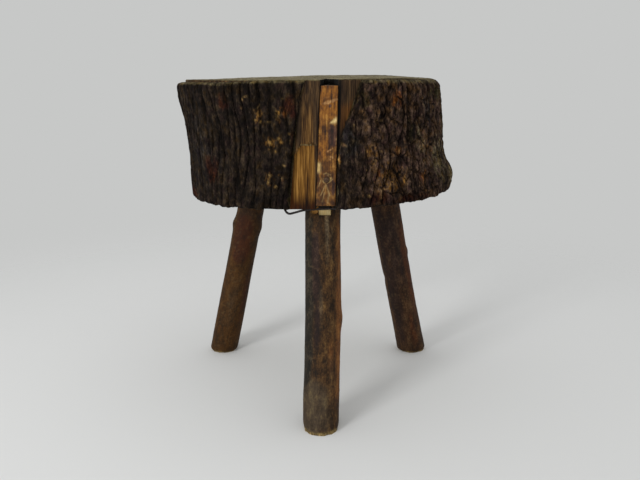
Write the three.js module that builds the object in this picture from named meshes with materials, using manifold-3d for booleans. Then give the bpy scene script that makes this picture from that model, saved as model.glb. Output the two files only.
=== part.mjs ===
// Milking stool: a slice of tree trunk with its bark on, carried on three branch legs that are
// driven into sockets bored in its underside. The trunk split at the front, where a tapered
// strip of wood fills the split and a wedge tightens the leg behind it.
// Millimetres, +Z up. The floor is z = 0 and the filled split faces -Y.
import * as THREE from "three";
import { mergeVertices } from "three/addons/utils/BufferGeometryUtils.js";
import Module from "manifold-3d";

const wasm = await Module();
wasm.setup();

const degree = Math.PI / 180;
const turn = 2 * Math.PI;

// Overall sizes
const seatHeight = 350; // at the middle of the seat
const sliceThickness = 122.5;
const trunkRadius = 140; // over the bark at the waist, with the crests of its ridges standing proud

// Gap between two pieces that touch on the real stool
const fitGap = 0.3;

// How far a cutter runs on past the face that it opens
const cutterRun = 12;

// Trunk slice: it was sawn askew, so the trunk leans to the left as it rises
const trunkAxisX = 1.5;
const trunkLean = 6.4 * degree;
const trunkWaist = 3;
const ovalLobe = { size: 1.2, angle: 75 * degree };
const threeLobe = { size: 1.4, angle: 88 * degree };
const topTilt = 0.6 * degree;
const undersideTilt = 1.4 * degree;
const burl = { size: 7.2, angle: 352 * degree, spread: 24 * degree, height: 18, reach: 15 };
const trunkSides = 72;
const trunkSteps = 5;

// Bark
const barkThickness = 8;
const barkAtWindow = 3.5; // it thins out towards the bare wood at the front
const barkThinning = 24 * degree;
const ridgeCount = 64;
const ridgeColumns = 3; // a furrow and the two shoulders of its ridge
const ridgeHeight = 2.4;
// Sideways drift of a ridge, as a share of the ridge spacing, and how fast it comes and goes
const ridgeDrift = { share: 0.32, perRidge: 0.6, perMillimetre: 0.045, seed: 1.3 };
// Crests and furrows as shares of the ridge height over and under the bark's middle surface
const crest = { share: 0.75, change: 0.35, perLevel: 0.9, seed: 4.1 };
const furrow = { share: 0.3, change: 0.25, perLevel: 0.4, seed: 0.7 };
const barkSteps = 9;
const barkTopRound = 6;
const barkBottomRound = 3.5;
const roundStep = 0.25; // place of the extra ring in each rounded edge, as a share of the rounding
const barkHang = { size: 3, angle: 190 * degree, spread: 40 * degree };
const rimWear = { size: 3, angle: 178 * degree, spread: 50 * degree }; // bark worn lower than the seat

// Bare window in the bark: x of its left and right edges at even steps from the underside to the top
const windowLeft = [-31, -32, -29, -26, -20, -15];
const windowRight = [18.5, 18, 18.5, 22, 35, 42];

// Flat left by the axe that trimmed the wood beside the split
const facet = { left: -34, height: 62, depth: 1.7, angle: 263.5 * degree };

// Split, cleaned out as a slot, and the drying crack that runs on to the pith
const frontAngle = 270 * degree;
const slotDepth = 27;
const slotNarrowing = 0.16; // each wall closes in by this much per millimetre of depth
const stripBottomWidth = 18.6;
const stripTopWidth = 16;
const stripBottomX = 5.5;
const stripLean = 1.6 * degree;
const stripTopGap = 5.5;
const stripBottomGap = 3.5;
const stripSideGap = 0.8;
const stripProud = 0.6;
const crackWidth = 4;
const pith = { x: -9, y: 8 };

// Nail through the strip
const nail = { height: 29, length: 38, shankRadius: 1.3, pointLength: 7, headRadius: 3.6, headHeight: 1.3 };
const nailRim = 0.8; // the head's edge, as a share of its radius
const nailCrown = 1.3; // the head's middle, as a share of its edge's height
const nailSides = 12;

// Iron wire stapled across the lower end of the strip
const wireRadius = 1.1;
const wireLeftX = -35;
const wireRightX = 27;
const wireDip = 4.3;
const wireInset = 4; // behind the bare wood's surface
const wireTailBack = 6; // its driven ends stand this much further in
const wireTail = 14; // driven up into the trunk
const wireSteps = 44;
const wireSides = 8;

// Legs: branches whittled to a tenon where they enter the trunk. One auger bored all the sockets.
const legsMiddleX = -3;
const socketCircle = 87;
const socketRadius = 16.4;
const socketDepth = 68;
const socketPointDepth = 6; // cone left by the auger's nose
const socketSides = 32;
const neckLength = 17; // whittled below the underside
const shoulderRun = 3;
const neckCut = 0.9; // radius taken off at the shoulder
const tenonSpare = 4; // room left above the tenon's end
const tenonChamfer = 2.5;
const legSides = 20;
const legSteps = 9;
const legLevelGap = 2.5; // rings up a leg are never closer than this
const knotLevels = [-1.3, -0.6, 0, 0.6, 1.3]; // rings through a knot, in shares of its reach
const legs = {
  front_leg: {
    socketAngle: 273.9 * degree,
    leanAngle: 268 * degree,
    splay: 14.1 * degree,
    radius: 18.35,
    swell: 0.2,
    oval: 0.006,
    bow: { size: 1.2, angle: 90 * degree },
    wear: { height: 6, inset: 1.4 },
    knots: [
      { below: 122, angle: 88 * degree, size: 1.6, spread: 30 * degree, reach: 10 },
      { below: 205, angle: 288 * degree, size: 0.5, spread: 24 * degree, reach: 16 },
    ],
  },
  left_leg: {
    socketAngle: 150.2 * degree,
    leanAngle: 150.9 * degree,
    splay: 13.7 * degree,
    radius: 16.8,
    swell: 0.2,
    oval: 0.02,
    bow: { size: 0.5, angle: 180 * degree },
    wear: { height: 5, inset: 1.8 },
    knots: [
      { below: 56, angle: 30 * degree, size: 1.5, spread: 34 * degree, reach: 8 },
      { below: 56, angle: 210 * degree, size: 1.7, spread: 28 * degree, reach: 7 },
      { below: 38, angle: 30 * degree, size: -1.2, spread: 50 * degree, reach: 13 },
    ],
  },
  right_leg: {
    socketAngle: 29.2 * degree,
    leanAngle: 31.5 * degree,
    splay: 13.6 * degree,
    radius: 17.1,
    swell: 0.8,
    oval: 0.025,
    bow: { size: 0.9, angle: 180 * degree },
    wear: { height: 5, inset: 1.8 },
    knots: [
      { below: 150, angle: 20 * degree, size: 1.3, spread: 30 * degree, reach: 11 },
      { below: 128, angle: 150 * degree, size: -0.8, spread: 26 * degree, reach: 5 },
    ],
  },
};

// Wedge that tightens the front leg
const wedge = {
  width: 12.5,
  outside: 18,
  inside: 13,
  tipThickness: 0.7,
  buttThickness: 4.4,
  around: 10 * degree,
};

const undersideHeight = seatHeight - sliceThickness;
const middleHeight = seatHeight - sliceThickness / 2;
const topAxisX = trunkAxisX - Math.tan(trunkLean) * sliceThickness;
const tenonRadius = socketRadius - fitGap;

// A smooth hump: 1 at the centre, falling away over the spread.
function hump(distance, spread) {
  return Math.exp(-((distance / spread) ** 2));
}

// The shorter way round from one angle to another.
function angleBetween(a, b) {
  return Math.atan2(Math.sin(a - b), Math.cos(a - b));
}

// A repeatable wobble between -1 and 1 for the nth ridge or ring.
function wobble(n, seed) {
  return Math.sin(n * 2.399 + seed) * Math.cos(n * 0.731 + 2 * seed);
}

// A closed mesh becomes a solid that can be joined and cut.
function solidFrom(geometry) {
  const bare = geometry.clone();
  bare.deleteAttribute("normal");
  bare.deleteAttribute("uv");
  const merged = mergeVertices(bare, 1e-3);
  const mesh = new wasm.Mesh({
    numProp: 3,
    vertProperties: merged.attributes.position.array,
    triVerts: new Uint32Array(merged.index.array),
  });
  return new wasm.Manifold(mesh);
}

function geometryFrom(solid) {
  const { vertProperties, triVerts } = solid.getMesh();
  const geometry = new THREE.BufferGeometry();
  geometry.setAttribute("position", new THREE.BufferAttribute(vertProperties, 3));
  geometry.setIndex(new THREE.BufferAttribute(triVerts, 1));
  geometry.computeVertexNormals();
  return geometry;
}

// Skins a stack of rings, from the lowest up, each anticlockwise from above, and closes both ends.
function loft(rings) {
  const count = rings[0].length;
  const points = rings.flat();
  const faces = [];
  for (let level = 0; level < rings.length - 1; level++) {
    for (let side = 0; side < count; side++) {
      const next = (side + 1) % count;
      const low = level * count;
      const high = low + count;
      faces.push(low + side, low + next, high + next);
      faces.push(low + side, high + next, high + side);
    }
  }
  const centreOf = (ring) => ring.reduce((sum, p) => sum.add(p), new THREE.Vector3()).divideScalar(count);
  const topStart = (rings.length - 1) * count;
  const bottomCentre = points.push(centreOf(rings[0])) - 1;
  const topCentre = points.push(centreOf(rings.at(-1))) - 1;
  for (let side = 0; side < count; side++) {
    const next = (side + 1) % count;
    faces.push(bottomCentre, next, side);
    faces.push(topCentre, topStart + side, topStart + next);
  }
  const geometry = new THREE.BufferGeometry().setFromPoints(points);
  geometry.setIndex(faces);
  geometry.computeVertexNormals();
  return geometry;
}

// An upright prism on an outline drawn in plan.
function uprightPrism(outline, bottom, top) {
  const shape = new THREE.Shape(outline);
  const geometry = new THREE.ExtrudeGeometry(shape, { depth: top - bottom, bevelEnabled: false });
  return geometry.translate(0, 0, bottom);
}

function undersideAt(x) {
  return undersideHeight + Math.tan(undersideTilt) * x;
}

function topAt(x) {
  return seatHeight + Math.tan(topTilt) * (x - topAxisX);
}

// Distance of the bark's middle surface from the trunk's axis.
function barkSurface(angle, height) {
  const waist = trunkWaist * ((height - middleHeight) / (sliceThickness / 2)) ** 2;
  const oval = ovalLobe.size * Math.cos(2 * (angle - ovalLobe.angle));
  const lobed = threeLobe.size * Math.cos(3 * (angle - threeLobe.angle));
  const sideways = hump(angleBetween(angle, burl.angle), burl.spread);
  const upright = hump(height - undersideHeight - burl.height, burl.reach);
  return trunkRadius + waist + oval + lobed + burl.size * sideways * upright;
}

function barkDepth(angle) {
  const thinned = hump(angleBetween(angle, frontAngle), barkThinning);
  return barkThickness - (barkThickness - barkAtWindow) * thinned;
}

function woodSurface(angle, height) {
  return barkSurface(angle, height) - barkDepth(angle);
}

// A point at a given distance from the leaning axis of the trunk.
function trunkPoint(radius, angle, height) {
  const axisX = trunkAxisX - Math.tan(trunkLean) * (height - undersideHeight);
  return new THREE.Vector3(axisX + radius * Math.cos(angle), radius * Math.sin(angle), height);
}

const bareFrontY = -woodSurface(frontAngle, middleHeight);
const stripFaceY = bareFrontY - stripProud;
const slotFloorY = bareFrontY + slotDepth;

// x of the strip's middle at a height.
function stripX(height) {
  return stripBottomX + Math.tan(stripLean) * (height - undersideHeight - stripBottomGap);
}

// Rings of wood surface from the underside up. A cutter runs on past both faces.
function woodRings(offset, run) {
  const rings = [];
  for (let step = 0; step <= trunkSteps; step++) {
    const height = undersideHeight + (sliceThickness * step) / trunkSteps;
    const ring = [];
    for (let side = 0; side < trunkSides; side++) {
      const angle = (turn * side) / trunkSides;
      const point = trunkPoint(woodSurface(angle, height) + offset, angle, height);
      if (step === 0) point.z = undersideAt(point.x);
      if (step === trunkSteps) point.z = topAt(point.x);
      ring.push(point);
    }
    rings.push(ring);
  }
  if (run > 0) {
    const up = new THREE.Vector3(0, 0, run);
    rings.unshift(rings[0].map((point) => point.clone().sub(up)));
    rings.push(rings.at(-1).map((point) => point.clone().add(up)));
  }
  return rings;
}

// Height of a column of the bark over its middle surface: each ridge starts with its furrow.
function ridgeRelief(column, level) {
  const ridge = Math.floor(column / ridgeColumns);
  const inFurrow = column % ridgeColumns === 0;
  const edge = inFurrow ? furrow : crest;
  const relief = ridgeHeight * (edge.share + edge.change * wobble(ridge, edge.seed + level * edge.perLevel));
  return inFurrow ? -relief : relief;
}

// Direction of a column, which drifts sideways with its ridge as it rises.
function ridgeAngle(column, above) {
  const ridge = Math.floor(column / ridgeColumns);
  const along = ridge * ridgeDrift.perRidge + above * ridgeDrift.perMillimetre;
  const drift = ridgeDrift.share * wobble(along, ridgeDrift.seed);
  return (turn / ridgeCount) * (column / ridgeColumns + drift);
}

// How far the rounded edge has drawn the bark in at this distance from the slice's two faces.
function edgeInset(above) {
  const round = above < sliceThickness / 2 ? barkBottomRound : barkTopRound;
  const rounding = Math.max(0, round - Math.min(above, sliceThickness - above));
  return round - Math.sqrt(round ** 2 - rounding ** 2);
}

// Outer surface of the bark, from the underside up. Its ends follow the slice's slanting faces.
function barkRings() {
  const span = sliceThickness - barkTopRound - barkBottomRound;
  const heights = [0, roundStep * barkBottomRound];
  for (let step = 0; step <= barkSteps; step++) heights.push(barkBottomRound + (span * step) / barkSteps);
  heights.push(sliceThickness - roundStep * barkTopRound, sliceThickness);
  return heights.map((above, level) => {
    const share = above / sliceThickness;
    const height = undersideHeight + above;
    const ring = [];
    for (let column = 0; column < ridgeCount * ridgeColumns; column++) {
      const angle = ridgeAngle(column, above);
      const fade = barkDepth(angle) / barkThickness;
      const relief = (ridgeRelief(column, level) - edgeInset(above)) * fade;
      const point = trunkPoint(barkSurface(angle, height) + relief, angle, height);
      const hang = barkHang.size * hump(angleBetween(angle, barkHang.angle), barkHang.spread);
      const worn = rimWear.size * hump(angleBetween(angle, rimWear.angle), rimWear.spread);
      point.z += (1 - share) * (undersideAt(point.x) - undersideHeight - hang);
      point.z += share * (topAt(point.x) - seatHeight - worn);
      ring.push(point);
    }
    return ring;
  });
}

// Cutter for the window: its edges are drawn from the front and it reaches back past the bark.
function windowCutter() {
  const steps = windowLeft.length - 1;
  const heightAt = (index) => {
    if (index === 0) return undersideHeight - cutterRun;
    if (index === steps) return seatHeight + cutterRun;
    return undersideHeight + (sliceThickness * index) / steps;
  };
  const outline = windowLeft.map((x, index) => new THREE.Vector2(x, heightAt(index)));
  windowRight.forEach((x, index) => outline.unshift(new THREE.Vector2(x, heightAt(index))));
  const widest = windowRight.at(-1) - topAxisX;
  const curveBack = trunkRadius - Math.sqrt(trunkRadius ** 2 - widest ** 2);
  const front = bareFrontY - 2 * barkThickness;
  const back = bareFrontY + curveBack + 2 * barkThickness;
  const shape = new THREE.Shape(outline);
  const geometry = new THREE.ExtrudeGeometry(shape, { depth: back - front, bevelEnabled: false });
  return solidFrom(geometry.rotateX(Math.PI / 2).translate(0, back, 0));
}

// A tapering upright bar in the split: the slot when it is widened and run on, else the strip.
function splitBar(sideGap, faceY, backY, bottom, top) {
  const ringAt = (height) => {
    const full = sliceThickness - stripTopGap - stripBottomGap;
    const share = (height - undersideHeight - stripBottomGap) / full;
    const width = stripBottomWidth + (stripTopWidth - stripBottomWidth) * share;
    const front = width / 2 + sideGap + slotNarrowing * (bareFrontY - faceY);
    const back = width / 2 + sideGap - slotNarrowing * (backY - bareFrontY);
    const x = stripX(height);
    return [
      new THREE.Vector3(x - front, faceY, height),
      new THREE.Vector3(x + front, faceY, height),
      new THREE.Vector3(x + back, backY, height),
      new THREE.Vector3(x - back, backY, height),
    ];
  };
  return loft([ringAt(bottom), ringAt(top)]);
}

// Drying crack, open at the back of the slot and closed at the pith.
function crackCutter() {
  const x = stripX(middleHeight);
  const outline = [
    new THREE.Vector2(x - crackWidth / 2, slotFloorY - 1),
    new THREE.Vector2(x + crackWidth / 2, slotFloorY - 1),
    new THREE.Vector2(pith.x, pith.y),
  ];
  return solidFrom(uprightPrism(outline, undersideHeight - cutterRun, seatHeight + cutterRun));
}

// Flat trimmed beside the split: a box whose inner face lies just under the wood's surface.
function facetCutter() {
  const rise = facet.height + cutterRun;
  const surface = woodSurface(facet.angle, undersideHeight + facet.height / 2);
  const boxDepth = 2 * barkThickness;
  const width = stripBottomX - stripBottomWidth / 2 - facet.left;
  const geometry = new THREE.BoxGeometry(boxDepth, width, rise);
  geometry.translate(surface - facet.depth + boxDepth / 2, 0, 0);
  geometry.rotateZ(facet.angle);
  geometry.translate(trunkAxisX, 0, undersideHeight - cutterRun + rise / 2);
  return solidFrom(geometry);
}

// Nail, pointing along +Y from under its head.
function nailGeometry(spare) {
  const shank = nail.shankRadius + spare;
  const head = nail.headRadius + spare;
  const profile = [
    new THREE.Vector2(0, nail.length + spare),
    new THREE.Vector2(shank, nail.length - nail.pointLength),
    new THREE.Vector2(shank, 0),
    new THREE.Vector2(head, 0),
    new THREE.Vector2(head * nailRim, -nail.headHeight),
    new THREE.Vector2(0, -nail.headHeight * nailCrown),
  ];
  return new THREE.LatheGeometry(profile.reverse(), nailSides);
}

function placeNail(object) {
  const height = undersideHeight + nail.height;
  object.position.set(stripX(height), stripFaceY - fitGap, height);
}

// The hole that the nail makes, for both pieces that it goes through.
function nailCutter() {
  const hole = new THREE.Mesh(nailGeometry(fitGap));
  placeNail(hole);
  hole.updateMatrixWorld(true);
  return solidFrom(hole.geometry.applyMatrix4(hole.matrixWorld));
}

// Staple of iron wire: both tails go up into the trunk and the bow hangs a little below it.
function wireGeometry(radius, tail) {
  const y = bareFrontY + wireInset;
  const clear = wireRadius + fitGap;
  const below = (x, distance, back = 0) => new THREE.Vector3(x, y + back, undersideAt(x) - distance);
  const route = new THREE.CatmullRomCurve3(
    [
      below(wireLeftX, -tail, wireTailBack),
      below(wireLeftX, -tail / 2, wireTailBack),
      below(wireLeftX, -1, wireTailBack),
      below(wireLeftX + 2, wireDip * 0.7, wireTailBack / 2),
      below(wireLeftX + 5, wireDip),
      below(wireLeftX + 11, wireDip * 0.75),
      below(wireLeftX + 19, clear + 0.6),
      below(stripBottomX, clear + 0.2),
      below(wireRightX - 5, clear, wireTailBack / 4),
      below(wireRightX - 1.4, clear, wireTailBack * 0.7),
      below(wireRightX, -1.5, wireTailBack),
      below(wireRightX, -tail / 2, wireTailBack),
      below(wireRightX, -tail, wireTailBack),
    ],
    false,
    "centripetal",
  );
  const section = new THREE.Shape();
  section.absarc(0, 0, radius, 0, turn, false);
  const settings = { extrudePath: route, steps: wireSteps, curveSegments: wireSides / 2 };
  return new THREE.ExtrudeGeometry(section, settings);
}

// A leg's group stands at its socket's mouth, +X outward and +Z up the bore.
function legFrame(leg) {
  const frame = new THREE.Group();
  const x = legsMiddleX + socketCircle * Math.cos(leg.socketAngle);
  frame.position.set(x, socketCircle * Math.sin(leg.socketAngle), undersideAt(x));
  frame.rotation.set(0, -leg.splay, leg.leanAngle, "ZYX");
  frame.updateMatrixWorld(true);
  return frame;
}

// The auger's bore, with the cone of its nose, run out past the sloping underside.
function socketCutter(leg) {
  const run = 2 * socketRadius * Math.tan(leg.splay) + cutterRun;
  const profile = [
    new THREE.Vector2(0, -run),
    new THREE.Vector2(socketRadius, -run),
    new THREE.Vector2(socketRadius, socketDepth),
    new THREE.Vector2(0, socketDepth + socketPointDepth),
  ];
  const geometry = new THREE.LatheGeometry(profile, socketSides).rotateX(Math.PI / 2);
  return solidFrom(geometry.applyMatrix4(legFrame(leg).matrixWorld));
}

// Heights of the rings up a leg's shaft: evenly spaced, with more of them through each knot.
function shaftHeights(leg, start, end) {
  const wanted = [];
  for (let step = 1; step < legSteps; step++) wanted.push(start + ((end - start) * step) / legSteps);
  for (const knot of leg.knots) knotLevels.forEach((share) => wanted.push(share * knot.reach - knot.below));
  wanted.sort((a, b) => a - b);
  const heights = [start];
  for (const height of wanted) {
    if (height - heights.at(-1) > legLevelGap && end - height > legLevelGap) heights.push(height);
  }
  return [...heights.slice(1), end];
}

// Levels of a leg along its bore's axis, from the sole to the end of its tenon. A level in the
// foot also has its height above the floor, and a whittled one its own radius.
function legLevels(leg, length) {
  const slope = Math.tan(leg.splay);
  const footTop = leg.wear.height + 2 * leg.radius * slope - length;
  const tenonTop = socketDepth - tenonSpare;
  const levels = [0, 0.35, 1].map((share) => ({ at: -length, aboveFloor: share * leg.wear.height }));
  for (const at of shaftHeights(leg, footTop, -neckLength)) levels.push({ at });
  levels.push({ at: shoulderRun - neckLength, radius: Math.max(tenonRadius, leg.radius - neckCut) });
  levels.push({ at: -socketRadius * slope - 1, radius: tenonRadius });
  levels.push({ at: tenonTop - tenonChamfer, radius: tenonRadius });
  levels.push({ at: tenonTop, radius: tenonRadius - tenonChamfer });
  return levels;
}

// Radius of the natural branch: slightly oval, a little thicker towards the foot, with its knots.
function branchRadius(leg, level, down, angle) {
  let radius = leg.radius + leg.swell * down ** 3;
  radius += leg.radius * leg.oval * Math.cos(2 * angle + 6 * down);
  for (const knot of leg.knots) {
    const sideways = hump(angleBetween(angle, knot.angle), knot.spread);
    radius += knot.size * sideways * hump(level.at + knot.below, knot.reach);
  }
  if (level.aboveFloor === undefined) return radius;
  return radius - leg.wear.inset * (1 - level.aboveFloor / leg.wear.height) ** 2;
}

// A branch from the floor up to the end of its tenon, in the frame of its socket.
function legGeometry(leg) {
  const length = legFrame(leg).position.z / Math.cos(leg.splay);
  const rings = legLevels(leg, length).map((level) => {
    const down = Math.min(1, Math.max(0, -level.at / length));
    const bowed = leg.bow.size * Math.sin(Math.PI * down) ** 2;
    const ring = [];
    for (let side = 0; side < legSides; side++) {
      const angle = (turn * side) / legSides;
      const radius = level.radius ?? branchRadius(leg, level, down, angle);
      const x = radius * Math.cos(angle) + bowed * Math.cos(leg.bow.angle);
      const y = radius * Math.sin(angle) + bowed * Math.sin(leg.bow.angle);
      const inFoot = level.aboveFloor !== undefined;
      const z = inFoot ? level.aboveFloor / Math.cos(leg.splay) - length - x * Math.tan(leg.splay) : level.at;
      ring.push(new THREE.Vector3(x, y, z));
    }
    return ring;
  });
  return loft(rings);
}

// Side view of the wedge: its outer face lies along the bore's wall and its inner face tapers.
// The notch that the leg has for it is the same shape, let out by the gap and open outward.
function wedgeGeometry(spare, outerRun) {
  const outer = Math.sqrt(tenonRadius ** 2 - (wedge.width / 2) ** 2);
  const outline = [
    new THREE.Vector2(outer - wedge.buttThickness - spare, -wedge.outside - spare),
    new THREE.Vector2(outer + outerRun, -wedge.outside - spare),
    new THREE.Vector2(outer + outerRun, wedge.inside + spare),
    new THREE.Vector2(outer - wedge.tipThickness - spare, wedge.inside + spare),
  ];
  const width = wedge.width + 2 * spare;
  const geometry = new THREE.ExtrudeGeometry(new THREE.Shape(outline), { depth: width, bevelEnabled: false });
  return geometry.rotateX(Math.PI / 2).translate(0, width / 2, 0).rotateZ(wedge.around);
}

const woods = {
  bark: new THREE.MeshStandardMaterial({ color: 0x2b221a, roughness: 0.95, metalness: 0 }),
  heartwood: new THREE.MeshStandardMaterial({ color: 0x6b5a3f, roughness: 0.85, metalness: 0 }),
  splitWood: new THREE.MeshStandardMaterial({ color: 0x8f642f, roughness: 0.8, metalness: 0 }),
  freshWood: new THREE.MeshStandardMaterial({ color: 0xb59d5e, roughness: 0.75, metalness: 0 }),
  branch: new THREE.MeshStandardMaterial({ color: 0x463322, roughness: 0.8, metalness: 0 }),
  iron: new THREE.MeshStandardMaterial({ color: 0x1f1c1a, roughness: 0.6, metalness: 0.8 }),
};

function named(name, geometry, material) {
  const mesh = new THREE.Mesh(geometry, material);
  mesh.name = name;
  return mesh;
}

// Trunk slice: the wood, with the split cleaned out and every hole that was bored or driven in it
function trunkSlice() {
  let wood = solidFrom(loft(woodRings(0, 0)));
  const slot = splitBar(
    stripSideGap,
    bareFrontY - barkThickness,
    slotFloorY,
    undersideHeight - cutterRun,
    seatHeight + cutterRun,
  );
  wood = wood.subtract(solidFrom(slot)).subtract(crackCutter()).subtract(facetCutter());
  for (const leg of Object.values(legs)) wood = wood.subtract(socketCutter(leg));
  wood = wood.subtract(nailCutter());
  wood = wood.subtract(solidFrom(wireGeometry(wireRadius + fitGap, wireTail + fitGap)));
  return named("trunk_slice", geometryFrom(wood), woods.heartwood);
}

// Bark: a skin round the wood, open at the front window
function bark() {
  const outer = solidFrom(loft(barkRings()));
  const core = solidFrom(loft(woodRings(fitGap, cutterRun)));
  return named("bark", geometryFrom(outer.subtract(core).subtract(windowCutter())), woods.bark);
}

// Strip of wood that fills the split, with the nail's hole
function fillerStrip() {
  const bottom = undersideHeight + stripBottomGap;
  const top = seatHeight - stripTopGap;
  const strip = solidFrom(splitBar(0, stripFaceY, slotFloorY - fitGap, bottom, top));
  return named("filler_strip", geometryFrom(strip.subtract(nailCutter())), woods.splitWood);
}

// A leg, and with the front one the wedge that tightens it
function legMeshes(name, leg) {
  const frame = legFrame(leg);
  if (name !== "front_leg") {
    frame.add(named(name, legGeometry(leg), woods.branch));
    return frame;
  }
  const notch = solidFrom(wedgeGeometry(fitGap, socketRadius));
  frame.add(named(name, geometryFrom(solidFrom(legGeometry(leg)).subtract(notch)), woods.branch));
  frame.add(named("leg_wedge", wedgeGeometry(0, 0), woods.freshWood));
  return frame;
}

const stool = new THREE.Group();
stool.add(trunkSlice(), bark(), fillerStrip());
const stripNail = named("strip_nail", nailGeometry(0), woods.iron);
placeNail(stripNail);
stool.add(stripNail);
stool.add(named("wire_staple", wireGeometry(wireRadius, wireTail), woods.iron));
for (const [name, leg] of Object.entries(legs)) stool.add(legMeshes(name, leg));

// The origin is on the floor, under the middle of the whole stool.
const extent = new THREE.Box3().setFromObject(stool, true);
const middle = extent.getCenter(new THREE.Vector3());
stool.position.set(-middle.x, -middle.y, -extent.min.z);

export default stool;
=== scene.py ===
import itertools
import math

import bpy
import numpy as np
from mathutils import Matrix, Vector


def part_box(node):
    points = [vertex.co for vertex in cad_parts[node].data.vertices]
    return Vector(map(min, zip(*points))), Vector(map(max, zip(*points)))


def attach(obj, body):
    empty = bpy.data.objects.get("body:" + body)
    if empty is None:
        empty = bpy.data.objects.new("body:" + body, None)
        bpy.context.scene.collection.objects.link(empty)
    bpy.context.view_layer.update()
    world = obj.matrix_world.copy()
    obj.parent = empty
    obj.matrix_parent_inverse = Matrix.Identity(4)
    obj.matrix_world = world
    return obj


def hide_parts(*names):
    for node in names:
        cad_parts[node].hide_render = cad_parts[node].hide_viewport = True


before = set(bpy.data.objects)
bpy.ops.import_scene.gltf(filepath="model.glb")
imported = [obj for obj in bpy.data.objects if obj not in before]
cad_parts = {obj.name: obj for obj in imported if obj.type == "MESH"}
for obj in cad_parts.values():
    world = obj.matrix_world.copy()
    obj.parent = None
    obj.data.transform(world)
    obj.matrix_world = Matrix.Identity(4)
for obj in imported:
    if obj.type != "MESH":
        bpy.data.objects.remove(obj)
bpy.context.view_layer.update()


# Trunk slice
# A round of hardwood, sawn askew from a trunk that leans to the left as it rises. Its two sawn
# faces have weathered to olive grey. At the front the bark is gone and the trunk has split, and
# the split was cleaned out as a tapering slot that a drying crack carries on to the pith.
seat_height = 350.0
slice_thickness = 122.5
underside_height = seat_height - slice_thickness
middle_height = seat_height - slice_thickness / 2
trunk_radius = 140.0
trunk_axis_x = 1.5
trunk_lean = math.tan(math.radians(6.4))
top_slope = math.tan(math.radians(0.6))
underside_slope = math.tan(math.radians(1.4))
trunk_waist = 3.0
burl_size = 7.2
burl_height = 18.0
bark_thickness = 8.0
bark_at_window = 3.5
front_angle = math.radians(270)
strip_bottom_width = 18.6
strip_top_width = 16.0
strip_bottom_x = 5.5
strip_lean = math.tan(math.radians(1.6))
strip_top_gap = 5.5
strip_bottom_gap = 3.5
strip_proud = 0.6
strip_side_gap = 0.8
slot_depth = 27.0
slot_narrowing = 0.16  # each wall closes in by this much per millimetre of depth
facet_height = 62.0
facet_depth = 1.7
facet_step = 12.0  # the flat ends this much lower at its left
facet_angle = math.radians(263.5)
worn_edge = 1.8  # rounding of the seat's edge
pith = (-9.0, 8.0)
fit_gap = 0.3


def hump(distance, spread):
    """1 at the centre, falling smoothly away over the spread."""
    return np.exp(-((distance / spread) ** 2))


def ease(low, high, value):
    """0 below low, 1 above high, and a smooth slope between them."""
    share = np.clip((value - low) / (high - low), 0, 1)
    return share * share * (3 - 2 * share)


def turn_between(a, b):
    return np.arctan2(np.sin(a - b), np.cos(a - b))


def hump_at(angle, middle, spread):
    """1 at an angle round the trunk, falling smoothly away. Middle and spread are in degrees."""
    return hump(turn_between(angle, math.radians(middle)), math.radians(spread))


def cell_value(cells, seed):
    """A repeatable value from 0 to 1 for each cell of a whole-numbered grid."""
    mixed = np.full(cells.shape[:-1], seed * 7919 + 17, dtype=np.uint32)
    for axis in range(cells.shape[-1]):
        mixed ^= cells[..., axis].astype(np.int64).astype(np.uint32) * np.uint32(2654435761)
        mixed ^= mixed >> np.uint32(15)
        mixed *= np.uint32(2246822519)
        mixed ^= mixed >> np.uint32(13)
    return mixed / 2.0**32


def noise(seed, *axes):
    """Smooth noise from -1 to 1, with about one bump per unit along each axis."""
    points = np.stack(np.broadcast_arrays(*axes), axis=-1)
    cells = np.floor(points)
    part = points - cells
    part = part * part * (3 - 2 * part)
    total = np.zeros(points.shape[:-1])
    for corner in itertools.product((0, 1), repeat=points.shape[-1]):
        weight = np.prod(np.where(np.array(corner), part, 1 - part), axis=-1)
        total += weight * cell_value(cells + np.array(corner), seed)
    return 2 * total - 1


def rough_noise(seed, *axes, octaves=4):
    """Noise with finer and finer detail laid over it."""
    total = sum(noise(seed + step, *(axis * 2**step for axis in axes)) / 2**step for step in range(octaves))
    return total / (2 - 0.5 ** (octaves - 1))


def axis_x(height):
    return trunk_axis_x - trunk_lean * (height - underside_height)


def underside_at(x):
    return underside_height + underside_slope * x


def top_at(x):
    return seat_height + top_slope * (x - axis_x(seat_height))


def bark_radius(angle, height):
    """Distance from the trunk's leaning axis to the middle of the bark's relief."""
    waist = trunk_waist * ((height - middle_height) / (slice_thickness / 2)) ** 2
    oval = 1.2 * np.cos(2 * (angle - math.radians(75)))
    lobed = 1.4 * np.cos(3 * (angle - math.radians(88)))
    sideways = hump_at(angle, 352, 24)
    upright = hump(height - underside_height - burl_height, 15)
    return trunk_radius + waist + oval + lobed + burl_size * sideways * upright


def bark_depth(angle):
    thinned = hump(turn_between(angle, front_angle), math.radians(24))
    return bark_thickness - (bark_thickness - bark_at_window) * thinned


def wood_radius(angle, height):
    return bark_radius(angle, height) - bark_depth(angle)


bare_front_y = -float(wood_radius(front_angle, middle_height))
strip_face_y = bare_front_y - strip_proud
slot_floor_y = bare_front_y + slot_depth

# The strip's front corner in the frame says where the stool's own origin stands in it
strip_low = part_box("filler_strip")[0]
strip_left = strip_bottom_x - strip_bottom_width / 2 - slot_narrowing * strip_proud
stool_origin = Vector((strip_low.x * 1000 - strip_left, strip_low.y * 1000 - strip_face_y, 0))


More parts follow.
